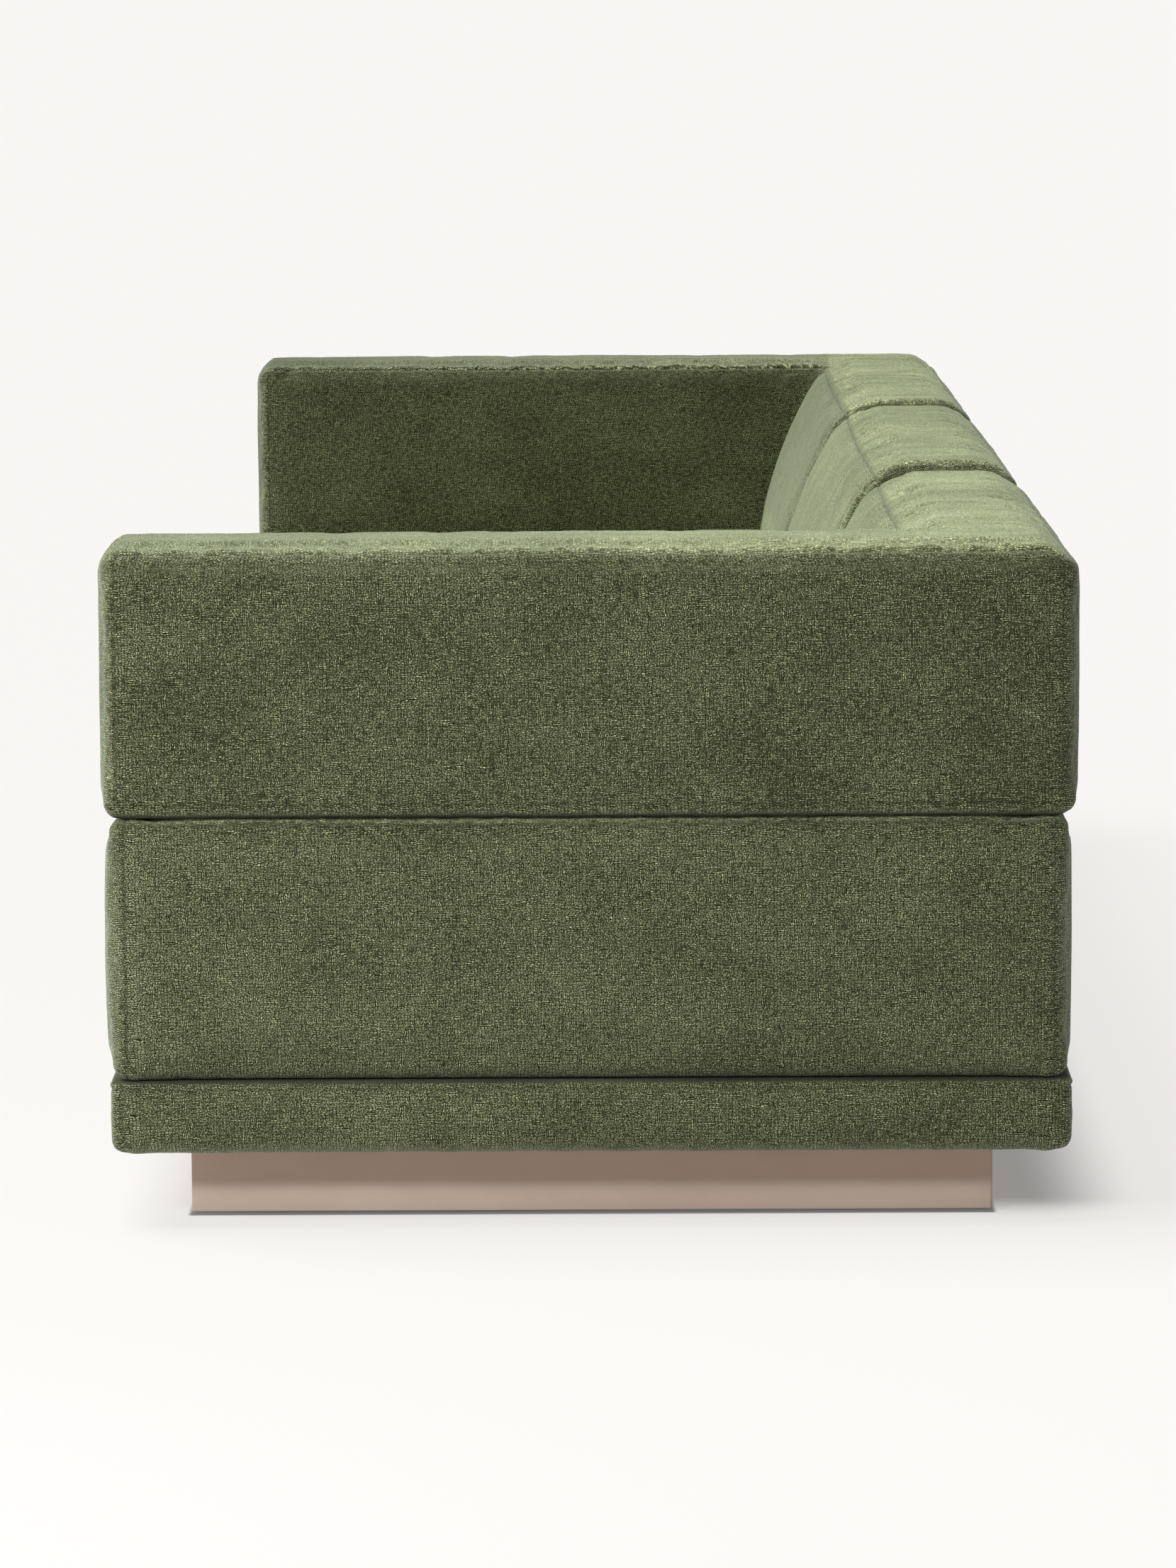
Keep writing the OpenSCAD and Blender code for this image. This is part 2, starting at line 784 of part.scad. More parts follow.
module seat_cover(m) {
    color(fabric_colour)
        difference() {
            seat_form(m);
            block(
                [near_x(m) + seat_wall - seat_inset, front_y + seat_wall, seat_z - overrun],
                [far_x(m, seat_inset) - seat_wall + seat_inset, rear_y - seat_wall, riser_top]
            );
            at_each(post_places(m), riser_top - overrun)
                cylinder(h = cover_t + 2 * overrun, r = post_r + post_hole_gap, $fn = post_facets);
        }
}

// A clamp bolt holds the plinth block, the platform and the seat frame together
module clamp_bolts(m) {
    head_z = glide_h + bolt_sink - washer_t - bolt_head_h;
    nut_z = seat_z + lower_rail_h + washer_t;
    places = corner_places(m, bolt_from_board);
    color(steel_colour) {
        at_each(places, head_z) {
            cylinder(h = bolt_head_h, r = bolt_head_r, $fn = nut_facets);
            cylinder(h = nut_z + bolt_head_h + bolt_r - head_z, r = bolt_r, $fn = bolt_facets);
        }
        for (z = [glide_h + bolt_sink - washer_t, seat_z + lower_rail_h])
            at_each(places, z)
                difference() {
                    cylinder(h = washer_t, r = washer_r, $fn = post_facets);
                    translate([0, 0, -overrun])
                        cylinder(h = washer_t + 2 * overrun, r = bolt_r + seat_gap, $fn = bolt_facets);
                }
        at_each(places, nut_z)
            difference() {
                cylinder(h = bolt_head_h, r = bolt_head_r, $fn = nut_facets);
                translate([0, 0, -overrun])
                    cylinder(h = bolt_head_h + 2 * overrun, r = bolt_r + running_gap, $fn = bolt_facets);
            }
    }
}

module locating_posts(m) {
    tip = post_r / 2;
    shank = post_depth + cover_t + post_rise - tip;
    color(steel_colour)
        at_each(post_places(m), riser_top - post_depth) {
            cylinder(h = shank, r = post_r, $fn = post_facets);
            translate([0, 0, shank]) cylinder(h = tip, r1 = post_r, r2 = post_r - tip, $fn = post_facets);
        }
}

// Side profile of a unit's inside, with its edges cut off by their radii
module back_profile(margin, front_gap, top_gap, foot_z) {
    top_z = crest_z - cover_t - top_gap;
    rear = rear_y - unit_wall - margin;
    polygon([
        [back_line_y(foot_z) + unit_wall + front_gap, foot_z],
        [rear, foot_z],
        [rear, top_z - rear_edge_r],
        [rear - rear_edge_r, top_z],
        [back_line_y(top_z) + unit_wall + front_gap, top_z]
    ]);
}

module arm_profile(margin, top_gap, foot_z) {
    top_z = crest_z - cover_t - top_gap;
    front = front_y + unit_wall + margin;
    polygon([
        [front, foot_z],
        [rear_y - unit_wall - margin - rear_edge_r, foot_z],
        [rear_y - unit_wall - margin - rear_edge_r, top_z],
        [front + arm_nose_r, top_z],
        [front, top_z - arm_nose_r]
    ]);
}

// Stands a profile drawn in Y and Z upright and runs it from one X to another
module run_along_x(x_low, x_high) {
    translate([x_low, 0, 0]) rotate([90, 0, 90]) linear_extrude(x_high - x_low) children();
}

// The space inside a unit's cover, or inside its foam
module unit_inside(m, margin, front_gap, top_gap, foot_z) {
    x_high = far_x(m) - unit_wall - margin;
    run_along_x(near_x(m) + unit_wall + margin, x_high)
        back_profile(margin, front_gap, top_gap, foot_z);
    if (m == 1)
        run_along_x(arm_face_x + unit_wall + margin, x_high)
            arm_profile(margin, top_gap, foot_z);
}

module unit_foam(m) {
    color(foam_colour)
        difference() {
            unit_inside(m, 0, 0, 0, unit_floor);
            unit_inside(m, unit_foam_t, back_foam_t, crest_foam_t, unit_floor - overrun);
        }
}

module unit_cover(m) {
    color(fabric_colour)
        difference() {
            unit_form(m);
            unit_inside(m, 0, 0, 0, unit_floor);
            at_each(post_places(m), unit_z - overrun)
                cylinder(h = under_t + 2 * overrun, r = post_r + post_hole_gap, $fn = post_facets);
        }
}

// The parts of a unit's inner frame: boards below and above, ribs and panels between
module unit_frame(m) {
    x_low = near_x(m) + unit_wall + unit_foam_t;
    x_high = far_x(m) - unit_wall - unit_foam_t;
    arm_low = arm_face_x + unit_wall + unit_foam_t;
    rear = rear_y - unit_wall - unit_foam_t;
    front = front_y + unit_wall + unit_foam_t;
    ribs_top = unit_frame_top - rib_t;
    board_front = back_frame_y(unit_board_top);
    top_front = back_frame_y(unit_frame_top);
    last_rib = m == 0 ? x_high : arm_low;
    sleeve_r = post_r + running_gap + sleeve_wall + seat_gap;
    color(timber_colour) {
        difference() {
            union() {
                block([x_low, board_front, unit_floor], [x_high, rear, unit_board_top]);
                if (m == 1) block([arm_low, front, unit_floor], [x_high, board_front, unit_board_top]);
            }
            at_each(post_places(m), unit_floor - overrun)
                cylinder(h = rib_t + 2 * overrun, r = sleeve_r, $fn = post_facets);
        }
        block([x_low, top_front, ribs_top], [x_high, rear - rear_edge_r, unit_frame_top]);
        if (m == 1)
            block([arm_low, front + arm_nose_r, ribs_top], [x_high, top_front, unit_frame_top]);
        for (x = [x_low, (x_low + last_rib - rib_t) / 2, last_rib - rib_t])
            run_along_x(x, x + rib_t)
                polygon([
                    [board_front, unit_board_top],
                    [rear - panel_t, unit_board_top],
                    [rear - panel_t, unit_frame_top - rear_edge_r],
                    [rear - rear_edge_r, ribs_top],
                    [back_frame_y(ribs_top), ribs_top]
                ]);
        block(
            [x_low, rear - panel_t, unit_board_top],
            [x_high, rear, unit_frame_top - rear_edge_r]
        );
        if (m == 1) {
            for (y = [front, (front + board_front) / 2])
                block(
                    [arm_low + panel_t, y, unit_board_top],
                    [x_high - panel_t, y + rib_t, y == front ? unit_frame_top - arm_nose_r : ribs_top]
                );
            run_along_x(arm_low, arm_low + panel_t)
                polygon([
                    [front, unit_board_top],
                    [top_front, unit_board_top],
                    [top_front, ribs_top],
                    [front + arm_nose_r, ribs_top],
                    [front, unit_frame_top - arm_nose_r]
                ]);
            run_along_x(x_high - panel_t, x_high)
                polygon([
                    [front, unit_board_top],
                    [rear - panel_t, unit_board_top],
                    [rear - panel_t, unit_frame_top - rear_edge_r],
                    [rear - rear_edge_r, ribs_top],
                    [front + arm_nose_r, ribs_top],
                    [front, unit_frame_top - arm_nose_r]
                ]);
        }
    }
}

module unit_sleeves(m) {
    bore_r = post_r + running_gap;
    tube_r = bore_r + sleeve_wall;
    color(steel_colour)
        at_each(post_places(m), unit_floor)
            difference() {
                union() {
                    cylinder(h = rib_t + sleeve_rise, r = tube_r, $fn = post_facets);
                    translate([0, 0, rib_t])
                        cylinder(h = sleeve_wall, r = tube_r + sleeve_flange, $fn = post_facets);
                }
                translate([0, 0, -overrun])
                    cylinder(h = rib_t + sleeve_rise + 2 * overrun, r = bore_r, $fn = post_facets);
            }
}

// Module connectors: a slotted arm on the middle plinth, and a tongue that drops into it
module connector_sockets() {
    x_low = plinth_far_x(0);
    half = connector_w / 2;
    margin = connector_t;
    color(steel_colour)
        for (y = [-connector_y, connector_y])
            difference() {
                union() {
                    block(
                        [x_low, y - half, glide_h + margin],
                        [x_low + connector_t, y + half, platform_z - margin]
                    );
                    block(
                        [x_low, y - half, arm_plate_z],
                        [tongue_x + tongue_w, y + half, arm_plate_z + connector_t]
                    );
                }
                block(
                    [
                        tongue_x - connector_t / 2 - tongue_gap,
                        y - tongue_w / 2 - tongue_gap,
                        arm_plate_z - overrun
                    ],
                    [
                        tongue_x + connector_t / 2 + tongue_gap,
                        y + tongue_w / 2 + tongue_gap,
                        arm_plate_z + connector_t + overrun
                    ]
                );
            }
}

module connector_tongues() {
    half = connector_w / 2;
    color(steel_colour)
        for (y = [-connector_y, connector_y]) {
            block(
                [tongue_x - tongue_w, y - half, platform_z - connector_t],
                [tongue_x + tongue_w, y + half, platform_z]
            );
            block(
                [tongue_x - connector_t / 2, y - tongue_w / 2, arm_plate_z - tongue_reach],
                [tongue_x + connector_t / 2, y + tongue_w / 2, platform_z]
            );
        }
}

// The left module mirrors the right one
module on_left() {
    mirror([1, 0, 0]) children();
}

on_left() glides(1);  // left_glides
on_left() plinth_front(1);  // left_plinth_front
on_left() plinth_rear(1);  // left_plinth_rear
on_left() plinth_far_side(1);  // left_plinth_outer_side
on_left() plinth_near_side(1);  // left_plinth_inner_side
on_left() plinth_blocks(1);  // left_plinth_blocks
on_left() platform_frame(1);  // left_platform_frame
on_left() platform_cover(1);  // left_platform_cover
on_left() seat_frame(1);  // left_seat_frame
on_left() seat_webbing(1);  // left_seat_webbing
on_left() seat_foam(1);  // left_seat_foam
on_left() seat_cover(1);  // left_seat_cover
on_left() clamp_bolts(1);  // left_clamp_bolts
on_left() locating_posts(1);  // left_locating_posts
on_left() unit_frame(1);  // left_unit_frame
on_left() unit_sleeves(1);  // left_unit_sleeves
on_left() unit_foam(1);  // left_unit_foam
on_left() unit_cover(1);  // left_unit_cover

glides(0);  // middle_glides
plinth_front(0);  // middle_plinth_front
plinth_rear(0);  // middle_plinth_rear
plinth_near_side(0);  // middle_plinth_left_side
plinth_far_side(0);  // middle_plinth_right_side
plinth_blocks(0);  // middle_plinth_blocks
platform_frame(0);  // middle_platform_frame
platform_cover(0);  // middle_platform_cover
seat_frame(0);  // middle_seat_frame
seat_webbing(0);  // middle_seat_webbing
seat_foam(0);  // middle_seat_foam
seat_cover(0);  // middle_seat_cover
clamp_bolts(0);  // middle_clamp_bolts
locating_posts(0);  // middle_locating_posts
unit_frame(0);  // middle_unit_frame
unit_sleeves(0);  // middle_unit_sleeves
unit_foam(0);  // middle_unit_foam
unit_cover(0);  // middle_unit_cover

glides(1);  // right_glides
plinth_front(1);  // right_plinth_front
plinth_rear(1);  // right_plinth_rear
plinth_far_side(1);  // right_plinth_outer_side
plinth_near_side(1);  // right_plinth_inner_side
plinth_blocks(1);  // right_plinth_blocks
platform_frame(1);  // right_platform_frame
platform_cover(1);  // right_platform_cover
seat_frame(1);  // right_seat_frame
seat_webbing(1);  // right_seat_webbing
seat_foam(1);  // right_seat_foam
seat_cover(1);  // right_seat_cover
clamp_bolts(1);  // right_clamp_bolts
locating_posts(1);  // right_locating_posts
unit_frame(1);  // right_unit_frame
unit_sleeves(1);  // right_unit_sleeves
unit_foam(1);  // right_unit_foam
unit_cover(1);  // right_unit_cover

on_left() connector_sockets();  // left_connector_sockets
on_left() connector_tongues();  // left_connector_tongues
connector_sockets();  // right_connector_sockets
connector_tongues();  // right_connector_tongues
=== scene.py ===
"""A sofa of three upholstered modules on recessed plinths.

The front faces -Y, the modules run along X, and the photograph looks along -X at the near end.
Each cover is built as a dense shell of rings and columns, takes the swelling of a cloth
simulation that runs on a coarser copy of it, and then gets its seams.
"""

import json
import math

import bmesh
import bpy
import numpy as np
from mathutils import Matrix, Vector
from mathutils.kdtree import KDTree


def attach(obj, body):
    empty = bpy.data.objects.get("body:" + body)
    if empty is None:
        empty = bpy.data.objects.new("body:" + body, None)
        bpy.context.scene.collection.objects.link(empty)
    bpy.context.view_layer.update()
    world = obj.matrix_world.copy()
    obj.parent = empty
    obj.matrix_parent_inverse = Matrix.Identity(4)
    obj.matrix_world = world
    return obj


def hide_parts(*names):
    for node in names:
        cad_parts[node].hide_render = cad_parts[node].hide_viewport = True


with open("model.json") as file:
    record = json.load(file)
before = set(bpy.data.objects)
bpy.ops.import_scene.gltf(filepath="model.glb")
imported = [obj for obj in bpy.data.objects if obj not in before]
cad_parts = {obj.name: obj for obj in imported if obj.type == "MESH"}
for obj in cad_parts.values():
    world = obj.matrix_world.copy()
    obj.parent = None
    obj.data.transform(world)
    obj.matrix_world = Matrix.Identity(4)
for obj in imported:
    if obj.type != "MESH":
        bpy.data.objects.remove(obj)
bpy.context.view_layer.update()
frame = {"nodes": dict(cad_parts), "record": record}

# Sizes of the sofa, in metres, as in its source
MODULE_W = 1.030
MODULE_D = 1.030
MODULE_GAP = 0.003
PLATFORM_Z = 0.079
SEAT_Z = 0.157
SEAT_TOP = 0.437
UNIT_Z = 0.4373
CREST_Z = 0.7313
FRONT_Y = -MODULE_D / 2
REAR_Y = MODULE_D / 2
ARM_FACE_X = 1.380
BACK_FOOT_Y = 0.240
BACK_TOP_Y = 0.345
PLINTH_RECESS = 0.087
PLATFORM_INSET = 0.0025
SEAT_INSET = 0.0045

# How far the covers swell out of their drawn form
BACK_SWELL = 0.019
BACK_DRAW = 0.008
SIDE_SWELL = 0.005
SEAT_SWELL = 0.008
SEAT_BULGE = 0.0040
SEAT_CROWN = 0.012
UNIT_CROWN = 0.010
# Distance from a long edge, or from a joint between modules, over which a unit's crown rises
CROWN_RUN = 0.062
JOINT_CROWN_RUN = 0.018
# Height at which points begin to take part in the crown, and over which they come to do so fully
CROWN_Z = 0.705
CROWN_START = 0.012
# Power of the sine that gives a swollen side its form: below 1 it is flat in its middle
SWELL_POWER = 0.6
# How much of the bulge of a seat's front its corners take part in
BULGE_AT_CORNERS = 1.5
# How far the tops of arms and backs have sunk since new, and the height that they sink from
TOP_SINK = 0.0132
SINK_FROM_Z = 0.690
# How far along a back and down its front it has given way further at its end, and what share of
# that its front goes back
DIP_REACH = 0.16
DIP_HEIGHT = 0.10
DIP_BACKWARD = 0.45

# Rounding of the upright corners, and the least share of it that is left where they draw in
CORNER_R = 0.015
LEAST_CORNER = 0.3
# Rounding of the other edges
PLATFORM_LOW_R = 0.018
PLATFORM_TOP_R = 0.004
SEAT_EDGE_R = 0.015
UNIT_LOW_R = 0.017
FOAM_EDGE_R = 0.013
BOARD_EDGE_R = 0.0007

# How far each seam lies below the top of its piece, or above its foot
PLATFORM_SEAM_DROP = 0.0074
SEAT_SEAM_DROP = 0.0044
SIDE_SEAM_DROP = 0.0036
REAR_SEAM_DROP = 0.0121
FRONT_SEAM_DROP = 0.0026
BACK_SEAM_DROP = 0.0104
BOTTOM_SEAM_RISE = 0.0155

# Share of the swelling that the drawn form has before the cloth simulation fills it
STARTING_FILL = 0.75
FILLING_FRAMES = 20
# For each cover: the most that the filling moves a point, its pressure, how unevenly the cloth
# lies, how deep its seams draw in, and the seeds of its unevenness and of its seams'
PLATFORM_MAKE = (0.0025, 2.0, 0.0006, 0.0010, 11, 31)
SEAT_MAKE = (0.005, 4.0, 0.0009, 0.0011, 51, 71)
UNIT_MAKE = (0.004, 4.0, 0.0011, 0.0012, 91, 111)
# A seam: the width of its groove, where and how far the cloth puffs up beside it, and its tucks
GROOVE_W = 0.0017
PUFF_AT, PUFF_W, PUFF = 0.0075, 0.005, 0.0008
TUCK_W, TUCK = 0.012, 0.0006
# Widths of the strips along a seam that the material darkens, and that keep their rows straight
DARK_STRIP = 0.0032
STRAIGHT_STRIP = 0.019
STRAIGHT_FADE = 0.006

# Unevenness of the cloth over its foam: wavelengths with their shares, and the height above the
# foot of a piece over which it sets in
SLACK_WAVES = (0.32, 0.55), (0.14, 0.3), (0.06, 0.15)
SLACK_RISE = 0.02
# Shares of painted light on the cloth, which stands in for the light and sheen that fall on its
# tops: on an upright strip by a top, on the sides, on a back's front, and along an arm's top from
# its front end to the back (places in Y, shares), less on the left arm
TOP_PAINTED_LIGHT = 0.35
SIDE_PAINTED_LIGHT = 0.3
BACK_FRONT_PAINTED_SHEEN = 0.74
ARM_PAINTED_LIGHT = (-0.45, 0.05, 0.30), (0.5, 0.85, 1.0)
LEFT_ARM_PAINTED_LIGHT = 0.65
# Widths of the painted shade that darkens creases: along a platform's top, at the foot of a unit
# and of the other covers, and beside the joints between units
TOP_PAINTED_SHADE = 0.003
UNIT_FOOT_PAINTED_SHADE = 0.007
FOOT_PAINTED_SHADE = 0.004
JOINT_PAINTED_SHADE = 0.004
# Play for telling the covers apart by their height
KIND_MARGIN = 0.01

# Distances between the points of a dense and of a coarse shell, and of a foam core
FINE_STEP = 0.0075
COARSE_STEP = 0.020
FOAM_STEP = 0.045
# Steps round an upright corner, of a dense shell and of a coarse one
ARC_STEPS = {True: 8, False: 4}
# Shares round an upright corner, with the seam near its end, near its start or in its middle
LATE, EARLY, MIDDLE = 0.93, 0.07, 0.5
LATE_SEAM = {
    True: (0, 0.18, 0.36, 0.52, 0.68, 0.79, 0.86, LATE, 1),
    False: (0, 0.35, 0.65, LATE, 1),
}
EARLY_SEAM = {
    True: (0, EARLY, 0.14, 0.21, 0.32, 0.48, 0.64, 0.82, 1),
    False: (0, EARLY, 0.35, 0.65, 1),
}
MIDDLE_SEAM = {
    True: (0, 0.15, 0.3, 0.42, MIDDLE, 0.58, 0.7, 0.85, 1),
    False: (0, 0.25, MIDDLE, 0.75, 1),
}
# Distances from a corner, along a side, of the closer columns by a seam
BY_SEAM = {True: (0.0018, 0.0045, 0.009), False: ()}
# Distances of the rings from the foot of a piece, and from the top of each kind of piece
LOW_DROPS = {
    True: (0.0, 0.0006, 0.0018, 0.0036, 0.006, 0.0092, 0.0125, 0.0155, 0.019),
    False: (0.0, 0.0018, 0.006, 0.0155),
}
PLATFORM_DROPS = {
    True: (0.016, 0.012, 0.0095, 0.0082, 0.0074, 0.0066, 0.0056, 0.0044, 0.003, 0.0018, 0.0008,
           0.0002, 0.0),
    False: (0.016, 0.0074, 0.003, 0.0),
}
SEAT_DROPS = {
    True: (0.015, 0.0115, 0.0085, 0.0062, 0.0052, 0.0044, 0.0036, 0.0027, 0.0014, 0.0005, 0.0),
    False: (0.015, 0.0085, 0.0044, 0.0014, 0.0),
}
UNIT_DROPS = {
    True: (0.036, 0.030, 0.025, 0.0205, 0.0172, 0.0155, 0.0138, 0.0121, 0.0104, 0.0082, 0.0062,
           0.0052, 0.0044, 0.0036, 0.0026, 0.0013, 0.0005, 0.0),
    False: (0.036, 0.022, 0.0138, 0.0082, 0.0044, 0.0013, 0.0),
}
# The welt below a platform's top edge: distances from the top, and how far it stands in there
WELT = (
    (0.0, 0.0008, 0.0018, 0.003, 0.0044, 0.0056, 0.0066, 0.0074, 0.0082, 0.0095, 0.012, 0.016),
    (0.0, -0.0002, -0.0006, -0.0009, -0.0008, -0.0003, 0.0006, 0.0012, 0.0008, 0.0003, 0.0, 0.0),
)
# Rounding of the top edges, drawing in and swelling of a unit's sides
CORNER_UNIT = {
    "radii": (0.022, 0.015, 0.036, 0.015, 0.011, 0.008),
    "draws": (SIDE_SWELL, SIDE_SWELL, SIDE_SWELL, SIDE_SWELL, 0.0, 0.0),
    "swells": (SIDE_SWELL, SIDE_SWELL, SIDE_SWELL, SIDE_SWELL, BACK_DRAW, SIDE_SWELL),
}
STRAIGHT_UNIT = {
    "radii": (0.011, 0.015, 0.036, 0.015),
    "draws": (0.0, SIDE_SWELL, SIDE_SWELL, SIDE_SWELL),
    "swells": (BACK_DRAW, SIDE_SWELL, SIDE_SWELL, SIDE_SWELL),
}
# Width of the strip below a top edge whose weave carries on from the top
TOP_WEAVE_STRIP = 0.035
# How far the weave is shifted from one piece of cloth to the next
PANEL_SHIFT = np.array([0.1373, 0.2119])
# How the weave of the left module differs from that of the right one
MIRROR_UV = np.array([-1.0, 1.0])
MIRROR_UV_SHIFT = np.array([7.31, 3.77])


# ------------------------------------------------------------ rings, columns and patches
def fullness(share):
    """How far a swollen side stands out, from 0 at its ends to 1 in its middle."""
    return np.maximum(np.sin(np.pi * np.clip(share, 0, 1)), 0) ** SWELL_POWER


def edge_inset(drop, radius):
    """How far a rounded edge stands in at a distance from the flat that it ends in."""
    left = radius - min(max(drop, 0.0), radius)
    return radius - math.sqrt(max(radius ** 2 - left ** 2, 0.0))


def places(length, count, near, far, fine):
    """Distances that cut a length into count parts, with short ones at the ends that ask for it."""
    lead = list(BY_SEAM[fine]) if near else []
    tail = [length - d for d in reversed(BY_SEAM[fine])] if far else []
    start = lead[-1] if lead else 0.0
    end = tail[0] if tail else length
    middle = np.linspace(start, end, count - len(lead) - len(tail) + 1)
    return np.array(lead + list(middle[1:-1]) + tail)


def parts(length, fine):
    """Number of parts of a side of this length."""
    short = 2 * len(BY_SEAM[fine])
    return max(int(round(length / (FINE_STEP if fine else COARSE_STEP))), 2) + short


class Outline:
    """A closed outline of straight edges with rounded corners, which run anticlockwise.

    An edge is (axis, position as a function of height, inward sign). Each side's columns are
    given as shares of its length, and each arc's as shares of its quarter turn.
    """

    def __init__(self, edges, arcs, sides):
        self.edges = edges
        self.arcs = [np.asarray(a, float) for a in arcs]
        self.sides = [np.asarray(s, float) for s in sides]
        self.first = np.cumsum([0] + [len(a) + len(s) for a, s in zip(self.arcs, self.sides)])

    def inward(self, i):
        """The direction into the outline from an edge."""
        axis, _, sign = self.edges[i]
        return np.array([sign, 0.0]) if axis == 0 else np.array([0.0, sign])

    def seam_column(self, corner, share):
        """The column of a corner that lies closest to a share of its turn."""
        return int(self.first[corner] + np.argmin(np.abs(self.arcs[corner] - share)))

    def corner_column(self, corner):
        """The column in the middle of a corner."""
        return int(self.first[corner] + len(self.arcs[corner]) // 2)

    def ring(self, z, insets, draws, swells):
        """Points of the ring at a height. Each edge stands in, is drawn in and swells."""
        n = len(self.edges)
        place = [e[1](z) + e[2] * inset for e, inset in zip(self.edges, insets)]
        arcs, starts, ends = [], [], []
        for i in range(n):
            before = (i - 1) % n
            n1, n2 = self.inward(before), self.inward(i)
            turn = n1[0] * n2[1] - n1[1] * n2[0]
            shrink = min(insets[before] - draws[before], insets[i] - draws[i])
            radius = max(CORNER_R - turn * shrink, CORNER_R * LEAST_CORNER)
            meeting = np.zeros(2)
            meeting[self.edges[before][0]] = place[before]
            meeting[self.edges[i][0]] = place[i]
            centre = meeting + turn * radius * (n1 + n2)
            angle = np.radians(90 * self.arcs[i])[:, None]
            arcs.append(centre - turn * radius * (n1 * np.cos(angle) + n2 * np.sin(angle)))
            starts.append(centre - turn * radius * n1)
            ends.append(centre - turn * radius * n2)
        points = []
        for i in range(n):
            share = self.sides[i][:, None]
            start, end = ends[i], starts[(i + 1) % n]
            out = -self.inward(i) * swells[i] * fullness(share)
            points += [arcs[i], start + (end - start) * share + out]
        flat = np.concatenate(points)
        return np.column_stack([flat, np.full(len(flat), z)])


def corners(grid):
    """The four corners of each face of a grid."""
    return np.stack([grid[:-1, :-1], grid[:-1, 1:], grid[1:, 1:], grid[1:, :-1]], axis=2)


def travelled(points):
    """Length along each line of points, which runs down the first axis."""
    steps = np.linalg.norm(np.diff(points, axis=0), axis=-1)
    return np.concatenate([np.zeros((1,) + steps.shape[1:]), np.cumsum(steps, axis=0)])


class Shell:
    """Points, four-sided faces and weave coordinates of one cover."""

    def __init__(self):
        self.points, self.count = [], 0
        self.quads, self.uvs, self.lids = [], [], []
        self.sides = np.zeros(0, int)

    def add(self, points):
        """Adds points and returns their numbers."""
        points = np.asarray(points, float).reshape(-1, 3)
        self.points.append(points)
        self.count += len(points)
        return np.arange(self.count - len(points), self.count)

    def grid(self, index, uv):
        """Faces between the rows and columns of a grid of point numbers.

        uv has a pair for each grid point, or for each corner of each face.
        """
        self.quads.append(corners(index).reshape(-1, 4))
        self.uvs.append((corners(uv) if uv.ndim == 3 else uv).reshape(-1, 4, 2))

    def done(self):
        """Joins what was added."""
        self.points = np.concatenate(self.points)
        self.quads = np.concatenate(self.quads)
        self.uvs = np.concatenate(self.uvs)
        return self


def walls(shell, rings, top_from, panel):
    """The faces between closed rings.

    Above the ring top_from[column] they carry on the weave of the top. panel gives the piece
    of cloth that each column starts.
    """
    rings = np.array(rings)
    index = np.array([shell.add(ring) for ring in rings])
    index = np.column_stack([index, index[:, 0]])
    closed = np.concatenate([rings, rings[:, :1]], axis=1)
    middle = closed[len(closed) // 2]
    up = travelled(closed)
    side = np.stack([np.broadcast_to(travelled(middle), up.shape), up], axis=2)
    last = closed[-1, :, :2]
    out = middle[:, :2] - last
    out /= np.maximum(np.linalg.norm(out, axis=1, keepdims=True), 1e-9)
    left = up[-1] - up
    top = last + out * left[:, :, None]
    number = np.arange(len(rings))[:, None]
    shell.sides = index[:, :-1][number < top_from]
    carries_on = (number[:-1] >= top_from) & (left[:-1, :-1] < TOP_WEAVE_STRIP)
    shift = panel[:, None, None] * PANEL_SHIFT
    uv = np.where(carries_on[:, :, None, None], corners(top[..., ::-1]), corners(side) + shift)
    shell.grid(index, uv)
    return index[:, :-1]


def coons(south, north, west, east):
    """Points of a patch between four lines. south and north run alike, and west and east too."""
    u = np.linspace(0, 1, len(south))[None, :, None]
    v = np.linspace(0, 1, len(west))[:, None, None]
    ruled = south[None] * (1 - v) + north[None] * v + west[:, None] * (1 - u) + east[:, None] * u
    return ruled - (
        south[0] * (1 - u) * (1 - v) + south[-1] * u * (1 - v)
        + north[0] * (1 - u) * v + north[-1] * u * v
    )


def patch(shell, south, north, west, east, raised):
    """Fills four lines of point numbers. raised(x, y) is the height of the points inside."""
    at = np.concatenate(shell.points)
    points = coons(at[south], at[north], at[west], at[east])
    inside = points[1:-1, 1:-1].copy()
    inside[..., 2] = raised(inside[..., 0], inside[..., 1])
    index = np.empty(points.shape[:2], int)
    index[0], index[-1], index[:, 0], index[:, -1] = south, north, west, east
    index[1:-1, 1:-1] = shell.add(inside).reshape(inside.shape[:2])
    shell.grid(index, points[..., 1::-1])


def span(row, start, end):
    """The entries of a closed row from the column start to the column end."""
    count = (end - start) % len(row)
    return row[(start + np.arange(count + 1)) % len(row)]


def close_block(shell, last, corner, raised):
    """Closes the top of a block between the four corners of its last ring."""
    south, east, north, west = (
        span(last, corner[i], corner[(i + 1) % 4]) for i in range(4))
    patch(shell, south, north[::-1], west[::-1], east, raised)


def panels(columns, cuts):
    """The number of the piece of cloth that each column belongs to."""
    return np.searchsorted(sorted(cuts), columns, side="right")


# ------------------------------------------------------------ outlines of the pieces
def near_x(m):
    """Where module m begins on its left. Module 0 is the middle one and 1 the right one."""
    return (m - 0.5) * MODULE_W + MODULE_GAP / 2


def far_x(m, inset=0.0):
    """Where module m ends on its right, which for the right one is the end of the sofa."""
    return (m + 0.5) * MODULE_W - (MODULE_GAP / 2 if m == 0 else inset)


def fixed(value):
    """A position that is the same at every height."""
    return lambda z: value


